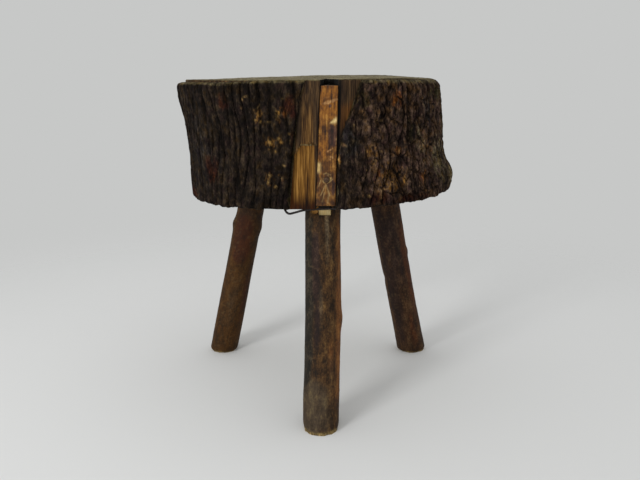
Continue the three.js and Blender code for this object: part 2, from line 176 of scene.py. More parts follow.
def add_mesh(name, points, faces, place=Matrix.Identity(4)):
    """A new object from points in millimetres, placed by a matrix that is in millimetres too."""
    mesh = bpy.data.meshes.new(name)
    mesh.from_pydata((np.asarray(points) / 1000).tolist(), [], faces)
    piece = bpy.data.objects.new(name, mesh)
    bpy.context.scene.collection.objects.link(piece)
    centre = place.to_translation() + stool_origin
    piece.matrix_world = Matrix.Translation(centre / 1000) @ place.to_3x3().to_4x4()
    return piece


def ring_faces(rings, sides, closed=True):
    """Quads over a stack of rings. A closed stack also has a fan of triangles at each end,
    round one point before the first ring and one after the last."""
    quads = []
    first = 1 if closed else 0
    for ring in range(rings - 1):
        low = first + ring * sides
        high = low + sides
        for side in range(sides):
            following = (side + 1) % sides
            quads.append((low + side, low + following, high + following, high + side))
    if closed:
        last = first + (rings - 1) * sides
        quads += [(0, first + (side + 1) % sides, first + side) for side in range(sides)]
        quads += [(last + sides, last + side, last + (side + 1) % sides) for side in range(sides)]
    return quads


def closed_stack(rings):
    """Points of a stack of rings, shaped (rings, sides, 3), with a middle point at each end."""
    sides = rings.shape[1]
    points = np.concatenate([rings[0].mean(0)[None], rings.reshape(-1, 3), rings[-1].mean(0)[None]])
    return points, ring_faces(len(rings), sides)


def carve(piece, cutters):
    """Cuts closed solids out of a piece, which stays one plain mesh with its own material."""
    own = list(piece.data.materials)
    for cutter in cutters:
        cut = piece.modifiers.new("cut", "BOOLEAN")
        cut.operation = "DIFFERENCE"
        cut.solver = "MANIFOLD"
        cut.object = cutter
    shaped = piece.evaluated_get(bpy.context.evaluated_depsgraph_get())
    carved = bpy.data.meshes.new_from_object(shaped)
    piece.modifiers.clear()
    piece.data = carved
    carved.materials.clear()
    for material in own:
        carved.materials.append(material)
    for cutter in cutters:
        bpy.data.objects.remove(cutter)


def points_of(piece):
    """The piece's points in its own millimetres."""
    found = np.zeros(len(piece.data.vertices) * 3)
    piece.data.vertices.foreach_get("co", found)
    return found.reshape(-1, 3) * 1000


def paint(piece, **masks):
    """Stores a value, or a vector, for each point, which the material reads by name."""
    for name, values in masks.items():
        kind = "FLOAT_VECTOR" if values.ndim == 2 else "FLOAT"
        layer = piece.data.attributes.new(name, kind, "POINT")
        layer.data.foreach_set("vector" if values.ndim == 2 else "value", values.astype(np.float32).ravel())


def smooth(piece, crease=40):
    """Smooth shading, with a crease wherever two faces meet at more than this many degrees."""
    piece.data.shade_smooth()
    piece.data.set_sharp_from_angle(angle=math.radians(crease))


def split_outline(side_gap, face_y, back_y, height):
    """Corners of the tapering split, or of the strip in it, at one height."""
    full = slice_thickness - strip_top_gap - strip_bottom_gap
    share = (height - underside_height - strip_bottom_gap) / full
    half = (strip_bottom_width + (strip_top_width - strip_bottom_width) * share) / 2 + side_gap
    x = strip_bottom_x + strip_lean * (height - underside_height - strip_bottom_gap)
    front = half + slot_narrowing * (bare_front_y - face_y)
    back = half - slot_narrowing * (back_y - bare_front_y)
    return [(x - front, face_y), (x + front, face_y), (x + back, back_y), (x - back, back_y)]


def split_rings(side_gap, face_y, back_y, heights, counts, bunched=0.0):
    """Rings up the split, or up the strip in it, with so many points along each of the four
    sides. Bunched draws the points of a side towards its ends."""
    rings = []
    for height in heights:
        corners = np.array(split_outline(side_gap, face_y, back_y, height))
        sides = []
        for start, end, count in zip(corners, np.roll(corners, -1, axis=0), counts):
            share = np.linspace(0, 1, count, endpoint=False)[:, None]
            share = share - bunched * np.sin(2 * math.pi * share)
            sides.append(start + (end - start) * share)
        ring = np.concatenate(sides)
        rings.append(np.column_stack([ring, np.full(len(ring), height)]))
    return np.array(rings)


def prism(name, lower, upper, bottom, top):
    """A cutter between two outlines with the same number of corners."""
    rings = np.array([[(x, y, bottom) for x, y in lower], [(x, y, top) for x, y in upper]])
    return add_mesh(name, *closed_stack(rings))


# Angles round the trunk, closest where the bare wood shows at the front
bare_angles = np.linspace(math.radians(251), math.radians(301), 150, endpoint=False)
other_angles = np.linspace(math.radians(301), math.radians(611), 290, endpoint=False)
angles = np.concatenate([bare_angles, other_angles])

# Rings run out over the underside, up the wall, round the worn edge and in over the seat
under_reach = np.linspace(0.02, 1, 30)
wall_rise = np.linspace(0, 1, 66)[1:-1] * (slice_thickness - worn_edge)
edge_rise = slice_thickness - worn_edge * (1 - np.sin(np.linspace(0, math.pi / 2, 5)))
top_reach = np.linspace(1, 0.015, 62)
reach = np.concatenate([under_reach, np.ones(len(wall_rise) + len(edge_rise)), top_reach])
rise = np.concatenate([0 * under_reach, wall_rise, edge_rise, 0 * top_reach + slice_thickness])
ring_angle, ring_reach = np.meshgrid(angles, reach)
ring_rise = np.broadcast_to(rise[:, None], ring_angle.shape)
ring_height = underside_height + ring_rise


def grain_arc(angle, rise):
    """Distance round the trunk, measured from the grain: at the front the grain leans the other
    way from the trunk, as the split does."""
    counter_lean = math.tan(math.radians(8)) * hump_at(angle, 268, 78)
    return trunk_radius * angle - counter_lean * rise


# The wall: long raised fibres, and the flat that an axe left beside the split
arc = grain_arc(ring_angle, ring_rise)
fibres = 0.5 * rough_noise(3, arc / 2.4, ring_rise / 45)
fibres = fibres + 0.8 * rough_noise(5, arc / 8, ring_rise / 70, octaves=2)
wall = wood_radius(ring_angle, ring_height) + fibres
facet_reach = wood_radius(facet_angle, underside_height + facet_height / 2) - facet_depth
facet_lean = (axis_x(ring_height) - trunk_axis_x) * math.cos(facet_angle)
facet_wall = (facet_reach - facet_lean) / np.cos(turn_between(ring_angle, facet_angle)) + 0.5 * fibres
facet_top = facet_height + 2.5 * rough_noise(7, arc / 3.5, 0 * arc)
facet_top = facet_top - facet_step * ease(math.radians(265.5), math.radians(260), ring_angle)
in_facet = (np.abs(turn_between(ring_angle, facet_angle)) < 0.2) & (ring_rise < facet_top)
wall = np.where(in_facet, np.minimum(wall, facet_wall), wall)
edge_drop = np.clip(ring_rise - (slice_thickness - worn_edge), 0, worn_edge)
wall -= worn_edge - np.sqrt(worn_edge**2 - edge_drop**2)
x = axis_x(ring_height) + wall * ring_reach * np.cos(ring_angle)
y = wall * ring_reach * np.sin(ring_angle)


def seat_wear(x, y):
    """How far the seat's edge is worn down: on the right, and from the left round to the back."""
    left_back = ease(-10, -75, x) * ease(-60, 20, y) * ease(85, 130, np.hypot(x, y))
    return 2.6 * ease(70, 128, x) + 2.1 * left_back


stroke_spacing = 4.1
ring_spacing = 3.1


def seat_relief(x, y):
    """Strokes of the crosscut saw, growth rings standing up, and the dips of wear."""
    sweep = x * math.cos(0.5) + y * math.sin(0.5) + 3 * noise(11, x / 50, y / 50)
    strokes = 0.16 * np.sin(2 * math.pi * sweep / stroke_spacing) * (0.5 + 0.5 * noise(12, x / 30, y / 30))
    from_pith = np.hypot(x - pith[0], y - pith[1]) + 4 * noise(13, x / 45, y / 45)
    rings = 0.07 * np.sin(2 * math.pi * from_pith / ring_spacing)
    waves = 0.6 * rough_noise(14, x / 38, y / 38, octaves=3) + 0.18 * rough_noise(15, x / 4, y / 4, octaves=2)
    return strokes + rings + waves - seat_wear(x, y)


share = ring_rise / slice_thickness
z = ring_height + (1 - share) * (underside_at(x) - underside_height) + share * (top_at(x) - seat_height)
on_top = ease(0.97, 1, share)
z = z + on_top * seat_relief(x, y)
under = (ring_rise == 0) & (ring_reach < 0.995)
saw_marks = 0.5 * np.abs(noise(17, (x + 0.4 * y) / 3.8, y / 60)) + 0.3 * noise(18, x / 6, y / 6)
z = z + np.where(under, saw_marks, 0)
wood = add_mesh("trunk_wood", *closed_stack(np.stack([x, y, z], axis=-1)))

# Slot, and the crack that wanders from its floor to the pith
run_out = 12.0  # how far a cutter reaches out of the wood
slot_face = bare_front_y - bark_thickness
slot_ends = (underside_height - run_out, seat_height + run_out)
slot_levels = np.linspace(*slot_ends, 60)
slot_rings = split_rings(strip_side_gap, slot_face, slot_floor_y, slot_levels, (12, 12, 12, 12))
chisel_cuts = 0.35 * np.abs(rough_noise(19, slot_rings[..., 1] / 4, slot_rings[..., 2] / 11))
outward = np.sign(slot_rings[..., 0] - slot_rings[..., 0].mean(1, keepdims=True))
slot_rings[..., 0] += outward * chisel_cuts
cutters = [add_mesh("slot", *closed_stack(slot_rings))]


def crack_outline(start, end, width, wander, seed, steps=9):
    """A crack seen from above: widest at its start, closing to a point, and never quite straight."""
    along = np.linspace(0, 1, steps)
    middle = np.outer(1 - along, start) + np.outer(along, end)
    ahead = np.array(end, float) - start
    across = np.array([-ahead[1], ahead[0]]) / np.hypot(*ahead)
    sway = wander * np.array([cell_value(np.array([step]), seed) - 0.5 for step in range(steps)])
    middle += np.outer(np.where((along == 0) | (along == 1), 0, sway), across)
    half = np.outer(width / 2 * (1 - along) ** 0.7, across)
    return np.concatenate([middle + half, (middle - half)[-2::-1]])[::-1]


slot_middle = strip_bottom_x + strip_lean * slice_thickness / 2
crack = crack_outline((slot_middle, slot_floor_y - 1), pith, 4.0, 5.0, 21)
cutters.append(prism("heart_crack", crack, crack, *slot_ends))

# Drying checks in the seat: from the rim towards the pith, and a few that open at the pith
checks = [
    # angle in degrees, distance of the wide end from the pith, of the tip, width, depth
    (12, 118, 64, 1.1, 9), (47, 150, 78, 1.6, 14), (78, 120, 92, 0.9, 7), (104, 150, 58, 1.9, 16),
    (139, 128, 88, 1.0, 8), (168, 150, 70, 1.7, 12), (206, 124, 86, 0.9, 8), (232, 112, 70, 1.0, 6),
    (322, 150, 90, 1.2, 10), (345, 105, 72, 0.8, 6), (74, 1, 46, 1.5, 12),
]
for number, (degrees, wide_end, tip, width, depth) in enumerate(checks):
    aim = np.array([math.cos(math.radians(degrees)), math.sin(math.radians(degrees))])
    outline = crack_outline(pith + aim * wide_end, pith + aim * tip, width, 3.0, 31 + number)
    cutters.append(prism(f"check_{number}", outline, outline, seat_height - depth, seat_height + run_out))

# Sockets: three blind holes, bored at a slant by one auger with a conical nose
socket_circle = 87.0
socket_radius = 16.4
socket_depth = 68.0
socket_nose = 6.0
legs_middle_x = -3.0
leg_angles = {
    # leg: angle of its socket, direction that it leans in, and its splay, in degrees
    "front_leg": (273.9, 268, 14.1),
    "left_leg": (150.2, 150.9, 13.7),
    "right_leg": (29.2, 31.5, 13.6),
}


def leg_place(leg):
    """Matrix of a leg: at its socket's mouth, +X outward and +Z up the bore."""
    socket, lean, splay = (math.radians(angle) for angle in leg_angles[leg])
    x = legs_middle_x + socket_circle * math.cos(socket)
    mouth = Vector((x, socket_circle * math.sin(socket), underside_at(x)))
    return Matrix.Translation(mouth) @ Matrix.Rotation(lean, 4, "Z") @ Matrix.Rotation(-splay, 4, "Y")


for leg in leg_angles:
    bore_angles = np.linspace(0, 2 * math.pi, 72, endpoint=False)
    bore_levels = [(-20, socket_radius), (socket_depth, socket_radius), (socket_depth + socket_nose, 0.3)]
    bore = np.array(
        [[(r * math.cos(a), r * math.sin(a), level) for a in bore_angles] for level, r in bore_levels]
    )
    cutters.append(add_mesh("bore_" + leg, *closed_stack(bore), leg_place(leg)))
carve(wood, cutters)
smooth(wood, 32)

# Where the wood is fresh, stained or worn
wood_x, wood_y, wood_z = points_of(wood).T
above = wood_z - underside_height
edge_wander = 2.5 * rough_noise(41, wood_x / 3, above / 40)
on_front = ease(-100, -112, wood_y)
left_of_split = ease(4, -2, wood_x)

# Gold: the flat that the axe left, and more faintly the wood above it
step_height = facet_height - facet_step * ease(-16, -28, wood_x)
gold = left_of_split * ease(step_height + 3, step_height - 2, above + edge_wander)
gold = gold * ease(-33, -27, wood_x + 0.4 * edge_wander)
upper_gold = ease(112, 84, above + 5 * edge_wander) * ease(-20, -15, wood_x + 0.5 * edge_wander)
upper_gold = upper_gold * ease(-5, -8, wood_x)
gold = gold * ease(-3.5, -6.5, wood_x - 0.05 * ease(50, 10, above)) + 0.42 * left_of_split * upper_gold
gold = np.clip(gold, 0, 1) * on_front

# A brown stain creeps up from the underside, a burnt line ends the flat at its left, and the
# wood at the upper right of the strip is amber
stain = left_of_split * ease(19, 3, above + 2.6 * edge_wander) * on_front
burnt = hump(wood_x + 29.0 - 0.03 * above + 0.4 * edge_wander, 2.4) * ease(62, 50, above) * on_front
amber = ease(14, 20, wood_x) * ease(108, 96, above + 3 * edge_wander) * on_front
amber = amber * ease(70, 84, above + 2 * edge_wander)

# Painted shade, with some dirt, lies in the slot, low beside the strip at its right and high beside the bark
# at the left
slot_x = strip_bottom_x + strip_lean * above
in_slot = ease(12.5, 10.5, np.abs(wood_x - slot_x))
in_slot = in_slot * ease(bare_front_y + 0.4, bare_front_y + 2.5, wood_y) * ease(-60, -95, wood_y)
beside_strip = ease(13.5, 15, wood_x) * ease(24, 20, wood_x) * ease(86, 66, above) * on_front
beside_bark = ease(-15.5, -19, wood_x + 0.5 * edge_wander) * ease(62, 76, above) * on_front
dirt = np.maximum(in_slot, 0.85 * beside_strip)
dirt = np.maximum(dirt, 0.6 * beside_bark * (wood_x > -45))

# The rim of the seat is dirtier than its middle
from_axis = wood_x - axis_x(wood_z)
from_rim = wood_radius(np.arctan2(wood_y, from_axis), wood_z) - np.hypot(from_axis, wood_y)
paint(wood, gold=gold, stain=stain, burnt=burnt, amber=amber, dirt=dirt, rim=ease(14, 0, from_rim))


def linear(colour):
    """An sRGB colour such as "8a6330" as linear red, green, blue and alpha."""
    channels = [int(colour[start : start + 2], 16) / 255 for start in (0, 2, 4)]
    return [c / 12.92 if c <= 0.04045 else ((c + 0.055) / 1.055) ** 2.4 for c in channels] + [1.0]


def add_node(tree, kind, settings=None, links=None):
    """Adds one shader node. A setting is a property or the value of a socket, and a colour
    ramp's stops are pairs of a position and an sRGB colour. A link is a socket or a node."""
    node = tree.nodes.new("ShaderNode" + kind)
    for name, value in (settings or {}).items():
        if name == "stops":
            ramp = node.color_ramp.elements
            ramp.remove(ramp[1])
            ramp[0].position = value[0][0]
            ramp[0].color = linear(value[0][1])
            for position, colour in value[1:]:
                ramp.new(position).color = linear(colour)
        elif isinstance(name, int) or name in node.inputs:
            node.inputs[name].default_value = value
        else:
            setattr(node, name, value)
    for name, source in (links or {}).items():
        tree.links.new(getattr(source, "outputs", [source])[0], node.inputs[name])
    return node


def new_material(name):
    material = bpy.data.materials.new(name)
    material.use_nodes = True
    material.node_tree.nodes.clear()
    return material, material.node_tree


def grain_pattern(tree, where, size, detail, roughness, unit=1000):
    """A cloudy pattern whose lumps are about size millimetres, in x, y and z. A step of one in
    where is unit millimetres long: a metre on the object, or 1 mm along painted grain."""
    scale = add_node(tree, "Mapping", {"Scale": [unit / side for side in size]}, {"Vector": where})
    settings = {"Scale": 1.0, "Detail": detail, "Roughness": roughness}
    return add_node(tree, "TexNoise", settings, {"Vector": scale})


def lay_patterns(tree, base, *finer):
    """Adds finer patterns to a coarse one, each by its own weight."""
    for pattern, weight in finer:
        base = add_node(tree, "Math", {"operation": "MULTIPLY_ADD", 1: weight}, {0: pattern, 2: base})
    return base


def tint_over(tree, colour, tone, tints):
    """Lays tints over a colour, each where its own mask is painted. A tint is one sRGB colour,
    or the stops of a ramp that the tone runs along."""
    for mask_name, tint in tints.items():
        mask = add_node(tree, "Attribute", {"attribute_name": mask_name}).outputs["Fac"]
        links = {"Fac": mask, "Color1": colour}
        if isinstance(tint, str):
            colour = add_node(tree, "MixRGB", {"Color2": linear(tint)}, links)
        else:
            links["Color2"] = add_node(tree, "ValToRGB", {"stops": tint}, {"Fac": tone})
            colour = add_node(tree, "MixRGB", {}, links)
    return colour


def matt_finish(tree, colour, rubbed, raised, ior, gloss, dullness, relief):
    """The surface of wood or bark. Its dullness follows the rubbed pattern, and its relief,
    a strength and a height in millimetres, follows the raised one."""
    dull = add_node(tree, "MapRange", {"To Min": dullness[0], "To Max": dullness[1]}, {"Value": rubbed})
    bump = add_node(tree, "Bump", {"Strength": relief[0], "Distance": relief[1] / 1000}, {"Height": raised})
    settings = {"IOR": ior, "Specular IOR Level": gloss}
    links = {"Base Color": colour, "Roughness": dull, "Normal": bump}
    surface = add_node(tree, "BsdfPrincipled", settings, links)
    add_node(tree, "OutputMaterial", {}, {"Surface": surface})


# Weathered hardwood, sawn across and split along the grain: the sawn faces are dull and chalky,
# grey-green with dirt held in the open rings, and the split front keeps long lit fibres. Real
# fibres are too fine to show in the render, so here and below they are drawn about 1 mm wide.
weathered_oak, tree = new_material("weathered sawn and split hardwood")
where = add_node(tree, "TexCoord").outputs["Object"]
fibre = grain_pattern(tree, where, (1.1, 1.1, 30), 4, 0.62)
band = grain_pattern(tree, where, (4.5, 4.5, 60), 3, 0.55)
patch = grain_pattern(tree, where, (26, 26, 26), 4, 0.6)
speck = grain_pattern(tree, where, (1.6, 1.6, 1.6), 3, 0.7)

# The split front: grey-brown where it weathered, and golden or amber where it stayed fresh
streak = lay_patterns(tree, band, (fibre, 1.5))
streak = add_node(tree, "Math", {"operation": "MULTIPLY", 1: 0.417}, {0: streak})
weather_stops = [(0.38, "120c08"), (0.46, "261a11"), (0.53, "392a1b"), (0.6, "4f3b25"), (0.7, "6c5032")]
fresh_tints = {
    "amber": [(0.38, "201109"), (0.46, "3d2510"), (0.55, "583818"), (0.7, "7d5226")],
    "gold": [(0.4, "221305"), (0.46, "41280d"), (0.51, "5b3c15"), (0.57, "74501f"), (0.66, "936c34")],
}
side = add_node(tree, "ValToRGB", {"stops": weather_stops}, {"Fac": streak})
side = tint_over(tree, side, streak, fresh_tints)
stain_tint = {"blend_type": "MULTIPLY", "Fac": 1.0, "Color2": linear("6a5040")}
stained = add_node(tree, "MixRGB", stain_tint, {"Color1": side})
stain_mask = add_node(tree, "Attribute", {"attribute_name": "stain"}).outputs["Fac"]
side = add_node(tree, "MixRGB", {}, {"Fac": stain_mask, "Color1": side, "Color2": stained})
# Painted shade, with some dirt: near black in the slot and along its edges
side = tint_over(tree, side, streak, {"burnt": "4d2a10", "dirt": "0c0907"})

# The sawn faces: growth rings about the pith, with the relief's spacing. The wave node's rings
# repeat every 2 pi / 20 units.
pith_place = (-(pith[0] + stool_origin.x) / 1000, -(pith[1] + stool_origin.y) / 1000, 0)
ring_place = add_node(tree, "Mapping", {"Location": pith_place}, {"Vector": where})
ring_settings = {
    "wave_type": "RINGS",
    "rings_direction": "Z",
    "Scale": 2 * math.pi / 20 / (ring_spacing / 1000),
    "Distortion": 4.5,
    "Detail": 4.0,
    "Detail Scale": 0.3,
}
rings = add_node(tree, "TexWave", ring_settings, {"Vector": ring_place}).outputs["Fac"]
ring_tone = lay_patterns(tree, patch, (speck, 1.9))
ring_tone = add_node(tree, "Math", {"operation": "MULTIPLY", 1: 0.365}, {0: ring_tone})
ring_tone = lay_patterns(tree, ring_tone, (rings, 0.1))
end_stops = [(0.44, "433b28"), (0.52, "5f563f"), (0.58, "776d52"), (0.64, "8d8364"), (0.72, "a19775")]
end_grain = add_node(tree, "ValToRGB", {"stops": end_stops}, {"Fac": ring_tone})
rim_dirt = {"blend_type": "MULTIPLY", "Color2": linear("d0ccba")}
rim_mask = add_node(tree, "Attribute", {"attribute_name": "rim"}).outputs["Fac"]
end_grain = add_node(tree, "MixRGB", rim_dirt, {"Fac": rim_mask, "Color1": end_grain})

# A face that lies nearly level was sawn, and an upright one was split
facing = add_node(tree, "NewGeometry").outputs["True Normal"]
facing = add_node(tree, "SeparateXYZ", {}, {"Vector": facing}).outputs["Z"]
facing = add_node(tree, "Math", {"operation": "ABSOLUTE"}, {0: facing})
sawn = add_node(tree, "MapRange", {"From Min": 0.45, "From Max": 0.85}, {"Value": facing})
colour = add_node(tree, "MixRGB", {}, {"Fac": sawn, "Color1": side, "Color2": end_grain})
raised = add_node(tree, "MixRGB", {}, {"Fac": sawn, "Color1": streak, "Color2": ring_tone})
matt_finish(tree, colour, band, raised, ior=1.53, gloss=0.12, dullness=(0.72, 0.95), relief=(0.75, 0.9))
wood.data.materials.append(weathered_oak)
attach(wood, "root")
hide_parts("trunk_slice")


# Bark
# The trunk's own bark, dry and loose but still held all round, and broken away at the front. It
# is corky, split lengthwise into long ridges on the left and back, and into chunky plates on the
# right, with lichen on the burl and a few places where the outer layers have flaked off.
window_left = [-31, -32, -29, -26, -20, -15]  # x of the window's edges, from the underside to the top
window_right = [18.5, 18, 18.5, 22, 35, 42]
bark_columns = 780
outer_levels = 104
inner_levels = 6
rim_levels = 6
top_round = 6.0
bottom_round = 3.5
bark_above = np.linspace(0, 1, outer_levels) * slice_thickness


def furrow_lines(seed, arc, rise, wide, long, width):
    """Furrows that run up the trunk about wide millimetres apart, and wander and fade over long
    millimetres: 1 along their floors, falling to 0 over the width, which is a share of a furrow."""
    wander = 0.85 * noise(seed, arc / (2.6 * wide), rise / long)
    wander = wander + 0.22 * noise(seed + 1, arc / wide, 2.4 * rise / long)
    valley = 1 - ease(0, width, np.abs(np.sin(math.pi * (arc / wide + wander))))
    return valley * ease(-0.65, 0.25, noise(seed + 2, arc / (1.4 * wide), 1.3 * rise / long))


def cell_joints(seed, arc, rise, wide, long, width):
    """Joints of a pattern of uneven cells: 1 along the joints, falling to 0 over the width."""
    points = np.stack([arc / wide, rise / long], axis=-1)
    nearest = np.full(arc.shape, 9.0)
    second = np.full(arc.shape, 9.0)
    for step in itertools.product((-1, 0, 1), repeat=2):
        cells = np.floor(points) + np.array(step)
        middles = cells + np.stack([cell_value(cells, seed), cell_value(cells, seed + 1)], axis=-1)
        away = np.hypot(points[..., 0] - middles[..., 0], points[..., 1] - middles[..., 1])
        second = np.minimum(second, np.maximum(nearest, away))
        nearest = np.minimum(nearest, away)
    return 1 - ease(0, width, second - nearest)


window_levels = np.linspace(0, slice_thickness, 6)


def torn_edge(edge_x, seed, rough, fine):
    """Angle of a torn edge at each level. The edge is drawn by its x from the front, and rough
    and fine are the size and length of its raggedness."""
    torn = rough[0] * rough_noise(seed, bark_above / rough[1], 0 * bark_above)
    torn = torn + fine[0] * noise(seed + 1, bark_above / fine[1], 0 * bark_above)
    height = underside_height + bark_above
    x = np.interp(bark_above, window_levels, edge_x) + torn
    return -np.arccos((x - axis_x(height)) / bark_radius(front_angle, height))


right_edge = torn_edge(window_right, 51, (3.4, 14), (1.2, 3))
left_edge = torn_edge(window_left, 53, (2.2, 10), (0.9, 2.4)) + 2 * math.pi

# Columns close up towards the two torn edges
torn_run = 4.0  # the bark thins over this distance to a torn edge
band_length = trunk_radius * float((left_edge - right_edge).mean())
near_edge = np.array([0, 0.35, 0.8, 1.4, 2.1, 3.0]) / band_length
inside = np.linspace(torn_run / band_length, 1 - torn_run / band_length, bark_columns - 2 * len(near_edge))
column = np.concatenate([near_edge, inside, (1 - near_edge)[::-1]])
bark_angle = right_edge[:, None] + np.outer(left_edge - right_edge, column)
bark_rise = np.broadcast_to(bark_above[:, None], bark_angle.shape)
bark_arc = grain_arc(bark_angle, bark_rise)

# Relief: long close ridges on the left and back, shorter knobbly plates at the right front
sway = 2.4 * rough_noise(61, bark_arc / 34, bark_rise / 50)
knobbly = np.clip(hump_at(bark_angle, 318, 38) * 1.25, 0, 1)
knobbly = ease(0.35, 0.75, knobbly + 0.25 * rough_noise(71, bark_arc / 26, bark_rise / 26))
across = bark_arc + sway
bent = across + 1.6 * rough_noise(73, bark_arc / 6, bark_rise / 8)
ridge_furrow = furrow_lines(65, across, bark_rise, 8.6, 62, 0.42)
ridge_crease = furrow_lines(68, across, bark_rise, 4.4, 28, 0.5)
plate_furrow = furrow_lines(165, bent, bark_rise, 12.5, 44, 0.36)
plate_joint = cell_joints(168, bent, bark_rise + 0.6 * bent, 9.5, 19, 0.16)
knob_joint = cell_joints(171, bent, bark_rise, 3.6, 6, 0.35)
furrow = (1 - knobbly) * ridge_furrow + knobbly * np.maximum(plate_furrow, 0.75 * plate_joint)
crease = (1 - knobbly) * ridge_crease + knobbly * 0.5 * knob_joint
value = 0.5 + 0.5 * noise(76, across / (7 + 3 * knobbly), bark_rise / (26 - 10 * knobbly))
lumps = (0.45 + 0.5 * knobbly) * rough_noise(77, across / (5 + 3 * knobbly), bark_rise / 9, octaves=3)
fibre_relief = 0.4 * rough_noise(78, bark_arc / 2.1, bark_rise / 6, octaves=2)
relief = 1.7 + 0.7 * (value - 0.5) + lumps + fibre_relief - 1.0 * crease
relief = relief * (1 - 0.6 * furrow) - 2.3 * furrow
# Two bulges at the left and one at the right: angle, height, reach up and down, and size
for degrees, up, reach, size in ((182, 104, 13, 1.8), (358, 76, 26, 2.1), (182, 16, 18, 1.8)):
    relief += size * hump_at(bark_angle, degrees, 28) * hump(bark_rise - up, reach)

# Deep furrows that stand out, as seen in the photograph: angle at the top and at the bottom in
# degrees, height span, width and depth
deep_furrows = [
    (250.6, 249.4, 96, 122, 2.4, 3.2), (257.4, 256.6, 78, 94, 2.2, 2.6),
    (291.5, 290.6, 96, 122, 2.2, 2.6), (313.4, 311.2, 62, 118, 2.0, 3.0),
    (313.4, 312.2, 18, 62, 2.0, 3.0), (298.6, 298.2, 80, 90, 3.2, 2.4),
    (223.5, 221.5, 30, 108, 1.8, 2.2), (238.0, 236.5, 24, 96, 1.7, 2.0),
    (230.2, 231.0, 52, 112, 1.5, 1.8),
]
for number, (top_angle, low_angle, low, high, width, depth) in enumerate(deep_furrows):
    along = (bark_rise - low) / (high - low)
    aim = np.radians(low_angle + (top_angle - low_angle) * along)
    drift = 1.6 * noise(82 + number, bark_rise / 16, 0 * bark_rise)
    across = trunk_radius * turn_between(bark_angle, aim) + drift
    gash = hump(across, width) * ease(-0.12, 0.08, along) * ease(1.12, 0.92, along)
    relief -= depth * gash
    furrow = np.maximum(furrow, gash)


def patch_at(across, along, width, length, power=2):
    """1 in the middle of a patch, falling away over its half width and half length. A power
    above 2 makes it end more abruptly along its length."""
    return np.exp(-((across / width) ** 2) - (along / length) ** power)


# Colour of the bark: each tint lies in a few places, chosen from the photograph, given by
# angle in degrees, height above the underside, half width, half height and strength
tints = {
    "orange": [
        (306, 104, 8, 10, 1.0), (305, 53, 3.5, 5, 1.3), (279, 50, 2, 9, 0.5), (260, 95, 5, 8, 0.6),
        (296, 34, 7, 6, 0.6), (318, 24, 10, 9, 0.6),
    ],
    "straw": [
        (252.6, 64, 7, 6, 0.75), (256.6, 66.5, 3, 5, 0.7), (250.6, 30, 5, 8, 0.65),
        (255.6, 30, 3, 8, 0.5), (249.5, 90, 7, 9, 0.5), (257.4, 90, 3, 8, 0.6), (300, 27, 22, 19, 0.55),
        (293, 52, 10, 14, 0.42), (279.0, 47, 2.0, 7, 0.9), (281, 74, 2.4, 5, 0.6),
        (322, 60, 30, 40, 0.28),
    ],
    "slate": [(284, 62, 12, 20, 1.0), (325, 92, 12, 20, 0.7), (318, 30, 10, 14, 0.5), (215, 60, 30, 60, 0.5)],
    "moss": [(350, 62, 20, 60, 0.8), (336, 110, 32, 11, 0.7), (291, 106, 9, 12, 0.8), (313, 72, 9, 16, 0.5)],
    "lichen": [
        (335, 36, 24, 28, 1.0), (318, 60, 16, 30, 0.45), (345, 18, 26, 20, 0.7), (257, 90, 4, 12, 0.5),
    ],
    "russet": [
        (222, 36, 12, 16, 0.9), (235, 105, 9, 9, 0.8), (198, 6, 22, 9, 0.9), (262, 98, 8, 16, 0.8),
        (262, 40, 5, 36, 0.9), (294, 8, 14, 9, 0.8), (330, 112, 22, 10, 0.6), (310, 4, 30, 7, 0.8),
    ],
}
grains = {  # width and length of a tint's patches, and how broken up they are
    "orange": (2.0, 5, 1.6),
    "straw": (1.5, 2.4, 2.2),
    "slate": (5, 9, 0.9),
    "moss": (4, 7, 1.1),
    "lichen": (3, 5, 1.3),
    "russet": (4.5, 9, 0.9),
}
tint_masks = {}
for number, (tint, places) in enumerate(tints.items()):
    mask = np.zeros(bark_angle.shape)
    for degrees, up, half_width, half_height, strength in places:
        across = trunk_radius * turn_between(bark_angle, math.radians(degrees))
        mask = np.maximum(mask, strength * patch_at(across, bark_rise - up, half_width, half_height))
    wide, long, broken = grains[tint]
    mottled = rough_noise(101 + 5 * number, bark_arc / wide, bark_rise / long, octaves=3)
    tint_masks[tint] = ease(0.25, 0.8, mask * (1 + broken * mottled))

